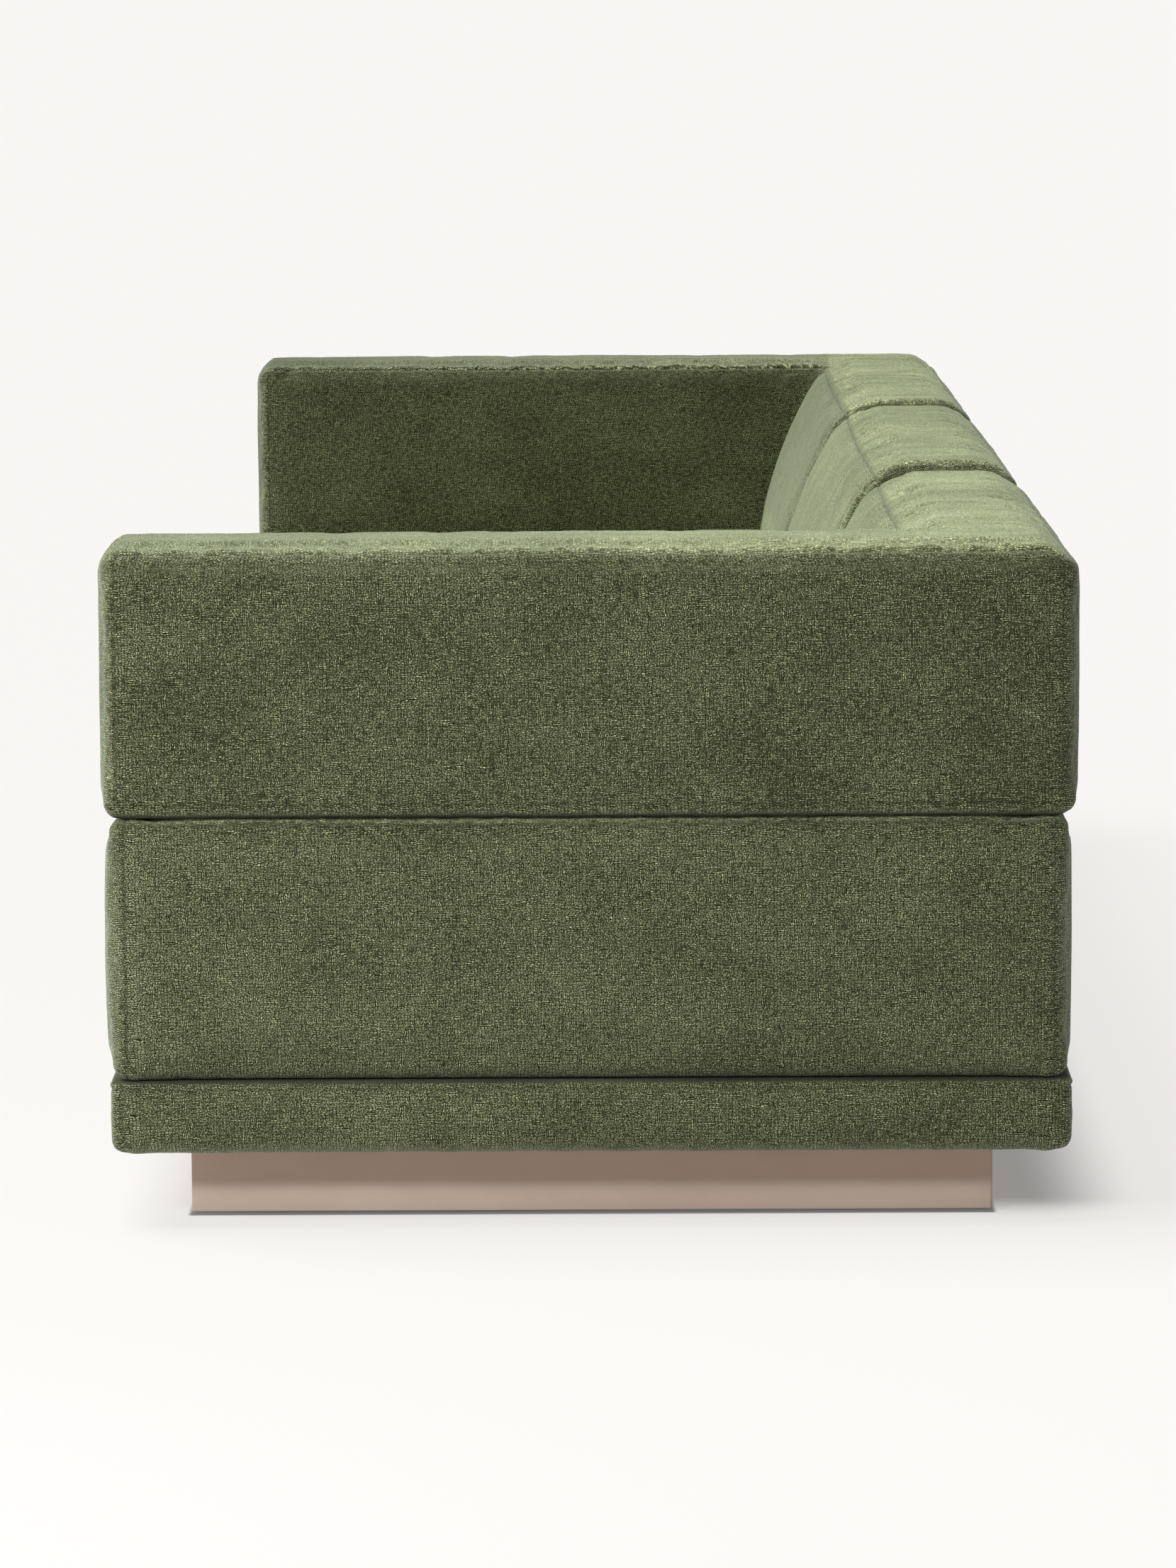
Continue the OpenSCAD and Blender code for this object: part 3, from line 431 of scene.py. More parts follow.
def back_face_y(z):
    """The leaning, hollowed line of a back's front."""
    rise = min(max((z - UNIT_Z) / (CREST_Z - UNIT_Z), 0.0), 1.0)
    line = BACK_FOOT_Y + (BACK_TOP_Y - BACK_FOOT_Y) * rise
    return line - BACK_SWELL * math.sin(math.pi * rise)


def four_sides(wide, deep, fine):
    """The columns of the four sides of a block."""
    return [places(length, parts(length, fine), True, True, fine) / length
            for length in (wide, deep, wide, deep)]


def block_outline(m, inset, swell, bulge, fine):
    """A block on the whole outline of module m, with seams round its two end panels."""
    edges = [
        (1, fixed(FRONT_Y + inset - bulge), 1), (0, fixed(far_x(m, inset)), -1),
        (1, fixed(REAR_Y - inset), -1), (0, fixed(near_x(m)), 1),
    ]
    wide = far_x(m, inset) - near_x(m) - 2 * (CORNER_R + swell)
    deep = MODULE_D - 2 * (inset + swell + CORNER_R) + bulge
    arcs = [EARLY_SEAM[fine], LATE_SEAM[fine]] * 2
    return Outline(edges, arcs, four_sides(wide, deep, fine))


def heights(low, high, high_drops, fine):
    """Heights of the rings, which are close together near the foot and the top."""
    step = FINE_STEP if fine else COARSE_STEP
    bottom = [low + drop for drop in LOW_DROPS[fine]]
    top = [high - drop for drop in high_drops]
    count = max(int(round((top[0] - bottom[-1]) / step)), 2)
    return bottom + list(np.linspace(bottom[-1], top[0], count + 1)[1:-1]) + top


def cushion_block(m, inset, swell, low, high, low_r, high_r, high_drops, seam_drop, fine,
                  raised=None, welt=None, bulge=0.0):
    """A block cushion, which swells out further in front by bulge.

    Returns its shell and the point numbers of its seams.
    """
    outline = block_outline(m, inset, swell, bulge, fine)
    draws = [swell + bulge] + [swell] * 3
    rings = []
    zs = heights(low, high, high_drops, fine)
    for z in zs:
        rounding = edge_inset(z - low, low_r) + edge_inset(high - z, high_r)
        if welt:
            rounding += float(np.interp(high - z, *welt))
        full = float(fullness((z - low) / (high - low)))
        puffed = [BULGE_AT_CORNERS * bulge * full, 0.0, 0.0, 0.0]
        rings.append(outline.ring(
            z, [draw + rounding - puff for draw, puff in zip(draws, puffed)], draws,
            [STARTING_FILL * full * (draw - puff) for draw, puff in zip(draws, puffed)]))
    shell = Shell()
    columns = np.arange(outline.first[-1])
    cuts = [outline.seam_column(i, share) for i, share in enumerate((EARLY, LATE, EARLY, LATE))]
    seam_ring = int(np.argmin([abs(high - z - seam_drop) for z in zs]))
    index = walls(shell, rings, np.full(len(columns), seam_ring), panels(columns, cuts))
    if raised:
        close_block(shell, index[-1], [outline.corner_column(i) for i in range(4)], raised)
    else:
        shell.lids.append(index[-1])
    shell.lids.append(index[0][::-1])
    seams = [index[:, c] for c in cuts] + [np.append(index[seam_ring], index[seam_ring][0])]
    return shell.done(), seams


def seat_height(m):
    """Height of a seat's crown, which ends at the edges, at the arm and at the back."""
    clear = 0.004
    low_x = near_x(m) + SEAT_SWELL + CORNER_R
    high_x = ARM_FACE_X - clear if m == 1 else far_x(m) - SEAT_SWELL - CORNER_R
    low_y = FRONT_Y + SEAT_INSET + SEAT_SWELL + CORNER_R
    high_y = BACK_FOOT_Y - clear

    def raised(x, y):
        u = (x - low_x) / (high_x - low_x)
        v = (y - low_y) / (high_y - low_y)
        return SEAT_TOP + SEAT_CROWN * fullness(u) * fullness(v)
    return raised


def seat_shell(m, fine):
    """The large block under the arm and the back, with a crown where one sits."""
    return cushion_block(
        m, SEAT_INSET, SEAT_SWELL, SEAT_Z, SEAT_TOP, SEAT_EDGE_R, SEAT_EDGE_R, SEAT_DROPS[fine],
        SEAT_SEAM_DROP, fine, raised=seat_height(m), bulge=SEAT_BULGE)


def platform_shell(m, fine):
    """The platform has a beaded welt along its upper edge."""
    return cushion_block(
        m, PLATFORM_INSET, SIDE_SWELL, PLATFORM_Z, SEAT_Z, PLATFORM_LOW_R, PLATFORM_TOP_R,
        PLATFORM_DROPS[fine], PLATFORM_SEAM_DROP, fine, welt=WELT)


def unit_outline(m, fine):
    """A straight back for the middle module, or an arm and a back that meet in an inner corner."""
    back_d = REAR_Y - BACK_TOP_Y - 2 * CORNER_R
    if m == 0:
        edges = [
            (1, back_face_y, 1), (0, fixed(far_x(0)), -1),
            (1, fixed(REAR_Y), -1), (0, fixed(near_x(0)), 1),
        ]
        wide = MODULE_W - 2 * CORNER_R
        return Outline(edges, [MIDDLE_SEAM[fine]] * 4, four_sides(wide, back_d, fine))
    edges = [
        (1, fixed(FRONT_Y), 1), (0, fixed(far_x(1)), -1), (1, fixed(REAR_Y), -1),
        (0, fixed(near_x(1)), 1), (1, back_face_y, 1), (0, fixed(ARM_FACE_X), 1),
    ]
    k = ARC_STEPS[fine]
    arm_w = far_x(1) - ARM_FACE_X - 2 * CORNER_R
    back_w = ARM_FACE_X - near_x(1) - 2 * CORNER_R
    arm_l = BACK_FOOT_Y - FRONT_Y - 2 * CORNER_R
    c_front, c_near = parts(arm_w, fine), parts(back_d, fine)
    c_back, c_arm = parts(back_w, fine), parts(arm_l, fine)
    half = k // 2
    half_lean = 0.05

    def joined(first, first_count, second, second_count):
        """Columns of an outer side, with one at the line where arm and back meet."""
        a = list(places(first, first_count, True, False, fine))
        b = [first + place for place in places(second, second_count, False, True, fine)]
        return np.array(a + [first] + b) / (first + second)

    sides = [
        places(arm_w, c_front, True, True, fine) / arm_w,
        joined(arm_l + CORNER_R, c_arm + half, back_d + CORNER_R + half_lean, c_near + half),
        joined(arm_w + CORNER_R, c_front + half, back_w + CORNER_R, c_back + half),
        places(back_d, c_near, True, True, fine) / back_d,
        places(back_w, c_back, True, True, fine) / back_w,
        places(arm_l, c_arm, True, True, fine) / arm_l,
    ]
    arcs = [EARLY_SEAM[fine], LATE_SEAM[fine], EARLY_SEAM[fine]] + [MIDDLE_SEAM[fine]] * 3
    return Outline(edges, arcs, sides)


def crown(points, m):
    """How much higher than its edges the top of a unit stands, further in."""
    x, y, z = points.T
    inner = np.maximum(y - BACK_TOP_Y, 0)
    if m == 1:
        inner = np.hypot(np.maximum(x - ARM_FACE_X, 0), inner)
    rise = UNIT_CROWN * np.clip((z - CROWN_Z) / CROWN_START, 0, 1)
    long_edges = [inner, REAR_Y - y] + ([far_x(1) - x] if m == 1 else [])
    joints = [x - near_x(m)] + ([far_x(0) - x] if m == 0 else [])
    for edges, reach in ((long_edges, CROWN_RUN), (joints, JOINT_CROWN_RUN)):
        for distance in edges:
            rise = rise * np.sin(np.pi / 2 * np.clip(distance / reach, 0, 1))
    return rise


def unit_shell(m, fine):
    """The arm and back of an end module, or the back of the middle one."""
    outline = unit_outline(m, fine)
    form = CORNER_UNIT if m == 1 else STRAIGHT_UNIT
    zs = heights(UNIT_Z, CREST_Z, UNIT_DROPS[fine], fine)
    rings = []
    for z in zs:
        low = edge_inset(z - UNIT_Z, UNIT_LOW_R)
        insets = [
            draw + low + edge_inset(CREST_Z - z, radius)
            for draw, radius in zip(form["draws"], form["radii"])
        ]
        full = float(fullness((z - UNIT_Z) / (CREST_Z - UNIT_Z)))
        rings.append(outline.ring(
            z, insets, form["draws"], [swell * STARTING_FILL * full for swell in form["swells"]]))

    def ring_at(drop):
        return int(np.argmin([abs(CREST_Z - z - drop) for z in zs]))
    side_ring, front_ring = ring_at(SIDE_SEAM_DROP), ring_at(FRONT_SEAM_DROP)
    back_ring, rear_ring = ring_at(BACK_SEAM_DROP), ring_at(REAR_SEAM_DROP)
    low_ring = int(np.argmin([abs(z - UNIT_Z - BOTTOM_SEAM_RISE) for z in zs]))
    shares = (EARLY, LATE, EARLY, MIDDLE, MIDDLE, MIDDLE) if m == 1 else (MIDDLE,) * 4
    cuts = [outline.seam_column(i, share) for i, share in enumerate(shares)]
    columns = np.arange(outline.first[-1])
    top_from = np.full(len(columns), front_ring)
    tops = {1: side_ring, 2: rear_ring, 0: 0, 4: back_ring} if m == 1 else {
        2: rear_ring, 0: back_ring}
    for i, ring in tops.items():
        top_from[(columns >= cuts[i]) & (columns < cuts[i + 1])] = ring
    shell = Shell()
    index = walls(shell, rings, top_from, panels(columns, cuts))
    last = index[-1]
    corner = [outline.corner_column(i) for i in range(len(outline.edges))]

    def raised(x, y):
        return np.full(x.shape, CREST_Z)

    def along(ring, i, j):
        return span(index[ring], cuts[i], cuts[j])

    if m == 0:
        close_block(shell, last, corner, raised)
        seams = [along(back_ring, 0, 1), along(rear_ring, 2, 3)]
        seams += [index[:front_ring + 1, cut] for cut in cuts]
    else:
        a, b, c, d, e, f = corner
        opposite_rear, opposite_far = c + b - a, b + (a - f) % len(last)
        at = rings[-1]

        def inner_line(end, like):
            """A line from the inner corner over the top, with points spaced as on its like."""
            length = travelled(like)
            t = (length / length[-1])[1:-1, None]
            line = at[f] * (1 - t) + at[end] * t
            line[:, 2] = CREST_Z
            return np.concatenate([[last[f]], shell.add(line), [last[end]]])
        to_far = inner_line(opposite_far, span(at, a, b))
        to_rear = inner_line(opposite_rear, span(at, d, e)[::-1])
        patch(
            shell, span(last, a, b), to_far,
            span(last, f, a)[::-1], span(last, b, opposite_far), raised)
        patch(
            shell, to_far, span(last, c, opposite_rear)[::-1],
            to_rear, span(last, opposite_far, c), raised)
        patch(
            shell, span(last, e, f), span(last, opposite_rear, d)[::-1],
            span(last, d, e)[::-1], to_rear, raised)
        seams = [
            index[low_ring:side_ring + 1, cuts[1]], index[low_ring:side_ring + 1, cuts[2]],
            along(side_ring, 1, 2), along(rear_ring, 2, 3), along(low_ring, 1, 2),
            index[low_ring:front_ring + 1, cuts[0]],
            along(back_ring, 4, 5), along(front_ring, 5, 0),
            index[:front_ring + 1, cuts[5]], index[:front_ring + 1, cuts[4]],
            index[:rear_ring + 1, cuts[3]],
        ]
    shell.lids.append(index[0][::-1])
    shell.done()
    shell.points[:, 2] += crown(shell.points, m)
    return shell, seams


# ------------------------------------------------------------ filling, sewing and making covers
def vertex_normals(points, quads):
    """The direction that the faces at each point look in on average."""
    a, b, c, d = (points[quads[:, i]] for i in range(4))
    face = np.cross(c - a, d - b)
    normals = np.zeros_like(points)
    for corner in range(4):
        np.add.at(normals, quads[:, corner], face)
    return normals / np.maximum(np.linalg.norm(normals, axis=1, keepdims=True), 1e-12)


def waves(points, wavelength, seed, count=16):
    """Smooth unevenness, mostly between -1 and 1: waves that run in different directions."""
    rng = np.random.default_rng(seed)
    total = np.zeros(len(points))
    for _ in range(count):
        direction = rng.normal(size=3)
        direction *= 2 * np.pi / (np.linalg.norm(direction) * wavelength * rng.uniform(0.7, 1.5))
        total += np.sin(points @ direction + rng.uniform(0, 2 * np.pi))
    return total * math.sqrt(0.5 / count)


def sampled(line, step):
    """Points at even steps along a line of points."""
    length = travelled(line)
    at = np.linspace(0, length[-1], max(int(length[-1] / step), 2))
    return np.column_stack([np.interp(at, length, line[:, k]) for k in range(3)])


def search_tree(points):
    """A tree that finds the closest of the points."""
    tree = KDTree(len(points))
    for i, point in enumerate(points):
        tree.insert(point, i)
    tree.balance()
    return tree


def nearest_to(lines, points, reach):
    """Distance from each point to the closest line, or reach where that is further."""
    cloud = np.concatenate(lines)
    tree = search_tree(cloud)
    low, high = cloud.min(axis=0) - reach, cloud.max(axis=0) + reach
    found = np.full(len(points), reach)
    for i in np.flatnonzero(np.all((points > low) & (points < high), axis=1)):
        found[i] = min(tree.find(points[i])[2], reach)
    return found


def blown(name, shell, held, pressure):
    """Fills a coarse shell by a cloth simulation and returns how far each point moved."""
    scene = bpy.context.scene
    mesh = bpy.data.meshes.new(name)
    mesh.from_pydata(shell.points.tolist(), [], shell.quads.tolist())
    cover = bpy.data.objects.new(name, mesh)
    scene.collection.objects.link(cover)
    pinned = cover.vertex_groups.new(name="held")
    pinned.add([int(i) for i in np.unique(held)], 1.0, "REPLACE")
    cloth = cover.modifiers.new("filling", "CLOTH")
    settings = cloth.settings
    settings.quality = 4
    settings.mass = 0.25
    settings.use_pressure = True
    settings.uniform_pressure_force = pressure
    settings.tension_stiffness = 12
    settings.compression_stiffness = 12
    settings.shear_stiffness = 4
    settings.bending_stiffness = 0.4
    settings.shrink_min = -0.006
    settings.vertex_group_mass = "held"
    settings.pin_stiffness = 4
    settings.effector_weights.gravity = 0
    cloth.collision_settings.use_collision = False
    cloth.point_cache.frame_start = 1
    cloth.point_cache.frame_end = FILLING_FRAMES
    for number in range(1, FILLING_FRAMES + 1):
        scene.frame_set(number)
    evaluated = cover.evaluated_get(bpy.context.evaluated_depsgraph_get())
    filled = evaluated.to_mesh()
    moved = np.empty(len(filled.vertices) * 3)
    filled.vertices.foreach_get("co", moved)
    moved = moved.reshape(-1, 3) - shell.points
    evaluated.to_mesh_clear()
    bpy.data.objects.remove(cover)
    bpy.data.meshes.remove(mesh)
    scene.frame_set(1)
    return moved


def carried(coarse, moved, points):
    """Spreads the moves of the coarse points over the dense points near them."""
    neighbours = 6
    tree = search_tree(coarse)
    result = np.zeros_like(points)
    for i, point in enumerate(points):
        found = tree.find_n(point, neighbours)
        far = np.array([f[2] for f in found])
        weight = np.maximum(1 - far / max(far[-1] * 1.05, 1e-6), 1e-4) ** 2
        result[i] = (weight[:, None] * moved[[f[1] for f in found]]).sum(axis=0) / weight.sum()
    return result


def filled_cover(name, build, low, high, cap, pressure, top=None):
    """A dense cover, filled by the simulation and kept inside its box, with its seams.

    build(fine) makes its shell. No point is filled out further than cap. top(points) gives the
    height that covered parts stay under.
    """
    shell, seams = build(True)
    points = shell.points
    coarse, coarse_seams = build(False)
    held = [np.ravel(line) for line in coarse_seams + coarse.lids]
    push = blown(name + "_coarse", coarse, np.concatenate(held), pressure)
    length = np.linalg.norm(push, axis=1, keepdims=True)
    push *= np.minimum(1, cap / np.maximum(length, 1e-9))
    points = points + carried(coarse.points, push, points)
    points = np.clip(points, low, high)
    if top is not None:
        points[:, 2] = np.minimum(points[:, 2], top(points))
    shell.points = points
    return shell, seams


def sewn(shell, seams, depth, seed):
    """Draws the cloth in along the seams and lets it puff up beside them."""
    points = shell.points
    normals = vertex_normals(points, shell.quads)
    apart = nearest_to([sampled(points[seam], 0.0012) for seam in seams], points, reach=0.03)
    uneven = 0.75 + 0.35 * waves(points, 0.035, seed) + 0.2 * waves(points, 0.016, seed + 1)
    groove = -depth * np.exp(-(apart / GROOVE_W) ** 2)
    puff = PUFF * np.exp(-((apart - PUFF_AT) / PUFF_W) ** 2) * np.clip(uneven, 0, 1.6)
    tucked = np.clip(waves(points, 0.022, seed + 2), 0, 1)
    tuck = -TUCK * np.exp(-(apart / TUCK_W) ** 2) * tucked
    shell.points = points + normals * (groove + puff + tuck)[:, None]
    shell.seam = np.clip(1 - apart / DARK_STRIP, 0, 1)
    shell.band = np.clip((STRAIGHT_STRIP - apart) / STRAIGHT_FADE, 0, 1)
    return shell


def slack(shell, amount, seed, fixed_below):
    """Lets the cloth lie unevenly over its foam, but not below a height."""
    points = shell.points
    normals = vertex_normals(points, shell.quads)
    uneven = sum(
        share * waves(points, wavelength, seed + i)
        for i, (wavelength, share) in enumerate(SLACK_WAVES))
    rise = np.clip((points[:, 2] - fixed_below) / SLACK_RISE, 0, 1)
    shell.points = points + normals * (amount * uneven * rise)[:, None]
    return shell


def sunk(points):
    """Sinks the tops of arms and backs, which have been sat and leaned on."""
    level = np.clip((points[:, 2] - SINK_FROM_Z) / (CREST_Z - SINK_FROM_Z), 0, 1)
    lower = points.copy()
    lower[:, 2] -= TOP_SINK * level ** 2 * (3 - 2 * level)
    return lower


def settled(points, end_x, dip):
    """Sinks the top and the front of a back towards its end, where the filling has given way."""
    x, y, z = points.T
    close = np.clip(1 - np.abs(x - end_x) / DIP_REACH, 0, 1) ** 1.3
    behind = np.clip((y - BACK_FOOT_Y + 0.02) / 0.05, 0, 1)
    high = np.clip((z - CREST_Z + DIP_HEIGHT) / DIP_HEIGHT, 0, 1) ** 1.5
    ahead = np.clip((REAR_Y - 0.07 - y) / 0.12, 0, 1)
    raised = np.clip((z - UNIT_Z) / 0.08, 0, 1)
    moved = points.copy()
    moved[:, 1] += DIP_BACKWARD * dip * close * ahead * raised * behind
    moved[:, 2] -= dip * close * high * behind
    return moved


def cloth_masks(name, shell, points, normals, mirrored):
    """What the material reads at each point.

    Besides seam and band, it reads painted light on tops, arm tops and backs' fronts, painted
    shade at the foot of each cover, beside the joints between units and along a platform's top,
    and painted light on platforms and seats with painted shade towards the rear of the ends.
    """
    y, z = points[:, 1], points[:, 2]
    low, high = z.min(), z.max()
    is_platform, is_unit = high < SEAT_Z + KIND_MARGIN, low > SEAT_TOP - KIND_MARGIN
    # Painted light: upward-facing cloth is made paler, standing in for the light and sheen on the
    # tops
    painted_light = TOP_PAINTED_LIGHT + (1 - TOP_PAINTED_LIGHT) * normals[:, 2]
    painted_light[shell.sides] = SIDE_PAINTED_LIGHT * normals[shell.sides, 2]
    if "back" in name:
        # Painted sheen on a back's front, and painted light along an arm's top, weaker towards its
        # front end and on the left arm
        back_front = (normals[:, 1] < -0.3) & (y > BACK_FOOT_Y - 0.04)
        painted_light[back_front] = np.maximum(painted_light[back_front], BACK_FRONT_PAINTED_SHEEN)
        on_arm = (y < BACK_TOP_Y) & (normals[:, 2] > 0.2)
        painted_light[on_arm] *= np.interp(y[on_arm], *ARM_PAINTED_LIGHT)
        painted_light[on_arm] *= LEFT_ARM_PAINTED_LIGHT if mirrored else 1.0
    # Painted shade: the cloth is darkened at the foot of each cover, beside the joints between
    # units and along a platform's top, where shade falls between the pieces
    foot = UNIT_FOOT_PAINTED_SHADE if is_unit else FOOT_PAINTED_SHADE
    painted_shade = np.clip(1.6 * (1 - (z - low) / foot), 0, 1)
    # Painted light on platforms and seats, and painted shade on the sofa's end faces that grows
    # towards the rear
    painted_light_and_shade = np.full(len(points), float(low < SEAT_Z + KIND_MARGIN))
    at_end = np.abs(points[:, 0]) > far_x(1) - 0.03
    painted_light_and_shade -= 0.75 * at_end * np.clip((y + 0.10) / 0.45, 0, 1)
    if is_unit:
        beside = np.abs(np.abs(points[:, 0]) - MODULE_W / 2) - 0.002
        painted_shade = np.maximum(painted_shade, 0.6 * np.clip(1 - beside / JOINT_PAINTED_SHADE, 0, 1))
    if is_platform:
        painted_shade = np.clip((z - high + TOP_PAINTED_SHADE) / TOP_PAINTED_SHADE, 0, 1)
        painted_light[:] = 0.0
    return {"seam": shell.seam, "band": shell.band, "painted_light": painted_light, "painted_shade": painted_shade, "painted_light_and_shade": painted_light_and_shade}


def mounted(name, mesh, body, nodes, fill=None):
    """Makes an object of a mesh and ties it to its body."""
    piece = bpy.data.objects.new(name, mesh)
    bpy.context.scene.collection.objects.link(piece)
    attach(piece, body)
    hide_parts(*nodes)


def cushion(name, shell, mirrored, body, nodes, material, fill, dip=None):
    """Makes the mesh of a cover, turned over for the left module."""
    points = shell.points.copy()
    quads, uvs = shell.quads, shell.uvs
    if mirrored:
        points[:, 0] *= -1
    if dip:
        points = settled(points, *dip)
    normals = vertex_normals(points, quads) * (-1 if mirrored else 1)
    masks = cloth_masks(name, shell, points, normals, mirrored)
    if mirrored:
        quads, uvs = quads[:, ::-1], uvs[:, ::-1] * MIRROR_UV + MIRROR_UV_SHIFT
    lids = [lid[::-1] if mirrored else lid for lid in shell.lids]
    mesh = bpy.data.meshes.new(name)
    mesh.from_pydata(points.tolist(), [], quads.tolist() + [lid.tolist() for lid in lids])
    layer = mesh.uv_layers.new(name="weave")
    lid_uvs = [points[lid][:, :2] for lid in lids]
    layer.data.foreach_set("uv", np.concatenate([uvs.reshape(-1, 2)] + lid_uvs).ravel())
    for label, values in masks.items():
        attribute = mesh.attributes.new(label, "FLOAT", "POINT")
        attribute.data.foreach_set("value", values.astype(np.float32))
    mesh.polygons.foreach_set("use_smooth", [True] * len(mesh.polygons))
    mesh.materials.append(material)
    mesh.update()
    mounted(name, mesh, body, nodes, fill)


def eased(node, flat_angle, sharp_angle, width, segments):
    """A node's solid with bevelled edges.

    Faces that meet in less than flat_angle degrees are joined first, and the edges that turn by
    more than sharp_angle radians are bevelled.
    """
    shape = bmesh.new()
    shape.from_mesh(frame["nodes"][node].data)
    bmesh.ops.remove_doubles(shape, verts=shape.verts, dist=1e-5)
    bmesh.ops.dissolve_limit(
        shape, angle_limit=math.radians(flat_angle), verts=shape.verts, edges=shape.edges)
    sharp = [
        edge for edge in shape.edges
        if len(edge.link_faces) == 2 and edge.calc_face_angle() > sharp_angle
    ]
    bmesh.ops.bevel(
        shape, geom=sharp, offset=width, segments=segments, profile=0.5, affect="EDGES",
        clamp_overlap=True)
    return shape


def as_mesh(shape, name, material):
    """The smooth mesh of a shape, which is freed."""
    for face in shape.faces:
        face.smooth = True
    mesh = bpy.data.meshes.new(name)
    shape.to_mesh(mesh)
    shape.free()
    mesh.materials.clear()
    mesh.materials.append(material)
    return mesh


def foam_core(node, body, material, dip=None):
    """The cut block of foam in a cushion, rounded off and sunk as its cover is."""
    shape = eased(node, flat_angle=0.2, sharp_angle=0.5, width=FOAM_EDGE_R, segments=4)
    points = np.array([vert.co[:] for vert in shape.verts])
    low, high = points.min(axis=0), points.max(axis=0)
    for axis, along in enumerate(np.identity(3).tolist()):
        count = int((high[axis] - low[axis]) / FOAM_STEP) + 2
        for at in np.linspace(low[axis], high[axis], count)[1:-1]:
            bmesh.ops.bisect_plane(
                shape, geom=shape.verts[:] + shape.edges[:] + shape.faces[:],
                plane_co=[float(at) * share for share in along], plane_no=along)
    if dip is not None:
        points = settled(sunk(np.array([vert.co[:] for vert in shape.verts])), *dip)
        for vert, place in zip(shape.verts, points):
            vert.co = place
    name = node + "_core"
    mounted(name, as_mesh(shape, name, material), body, [node], fill=1.0)


def plinth_board(node, body, material):
    """A lacquered board with eased edges in the place of its plain solid."""
    name = node + "_lacquered"
    shape = eased(node, flat_angle=2, sharp_angle=0.3, width=BOARD_EDGE_R, segments=3)
    mesh = as_mesh(shape, name, material)
    for edge in mesh.edges:
        edge.use_edge_sharp = False
    mounted(name, mesh, body, [node])


# ------------------------------------------------------------ finishes
def feed(tree, node, values):
    """Gives inputs of a node, by name or number, a value, a socket or another node's first one."""
    for key, value in values.items():
        if isinstance(value, bpy.types.Node):
            value = value.outputs[0]
        if isinstance(value, bpy.types.NodeSocket):
            tree.links.new(value, node.inputs[key])
        else:
            node.inputs[key].default_value = value


def put(tree, kind, values=None, **settings):
    """Adds a shader node of a kind, beside or below the one before."""
    made = tree.nodes.new("ShaderNode" + kind)
    row, column = divmod(len(tree.nodes), 10)
    made.location = (column * 200 - 2200, 600 - row * 350)
    for key, value in settings.items():
        setattr(made, key, value)
    feed(tree, made, values or {})
    return made


def calc(tree, operation, *values, clamp=False):
    """The result of a sum on values or sockets."""
    return put(
        tree, "Math", dict(enumerate(values)), operation=operation, use_clamp=clamp).outputs[0]


def ramp(tree, value, low, high, out=(0.0, 1.0), smooth=True):
    """Leads a value from out[0] at low to out[1] at high."""
    kind = "SMOOTHSTEP" if smooth else "LINEAR"
    return put(tree, "MapRange", {
        "Value": value, "From Min": low, "From Max": high, "To Min": out[0], "To Max": out[1]},
        interpolation_type=kind).outputs["Result"]


def blend(tree, factor, first, second, kind="RGBA"):
    """A mix of two colours, or with the kind FLOAT of two values."""
    a, b, out = (6, 7, 2) if kind == "RGBA" else (2, 3, 0)
    return put(tree, "Mix", {0: factor, a: first, b: second}, data_type=kind).outputs[out]


def noise(tree, vector, scale, detail, roughness=0.5, distortion=0.0, output="Fac"):
    """Cloudy noise over a place."""
    return put(tree, "TexNoise", {
        "Vector": vector, "Scale": scale, "Detail": detail, "Roughness": roughness,
        "Distortion": distortion}).outputs[output]


def relief(tree, height, strength, distance):
    """Fine unevenness for a shader's normal."""
    return put(tree, "Bump", {"Strength": strength, "Distance": distance, "Height": height})


def object_place(tree):
    """The place on the piece, in metres."""
    return put(tree, "TexCoord").outputs["Object"]


def mask(tree, name):
    """A mask that is kept at the points of a cover."""
    return put(tree, "Attribute", attribute_name=name, attribute_type="GEOMETRY").outputs["Fac"]


def effect(name, inputs, outputs):
    """A node group of named values, with its inputs and its end.

    An input without a value of its own is a vector.
    """
    tree = bpy.data.node_groups.new(name, "ShaderNodeTree")
    for label, value in inputs.items():
        kind = "NodeSocketVector" if value is None else "NodeSocketFloat"
        socket = tree.interface.new_socket(name=label, in_out="INPUT", socket_type=kind)
        if value is not None:
            socket.default_value = value
    for label in outputs:
        tree.interface.new_socket(name=label, in_out="OUTPUT", socket_type="NodeSocketFloat")
    start, end = tree.nodes.new("NodeGroupInput"), tree.nodes.new("NodeGroupOutput")
    start.location, end.location = (-2600, 0), (0, 0)
    return tree, start.outputs, end


def finish_named(name):
    """A material with a Principled shader, and its tree."""
    material = bpy.data.materials.new(name)
    material.use_nodes = True
    tree = material.node_tree
    return material, tree, tree.nodes["Principled BSDF"]


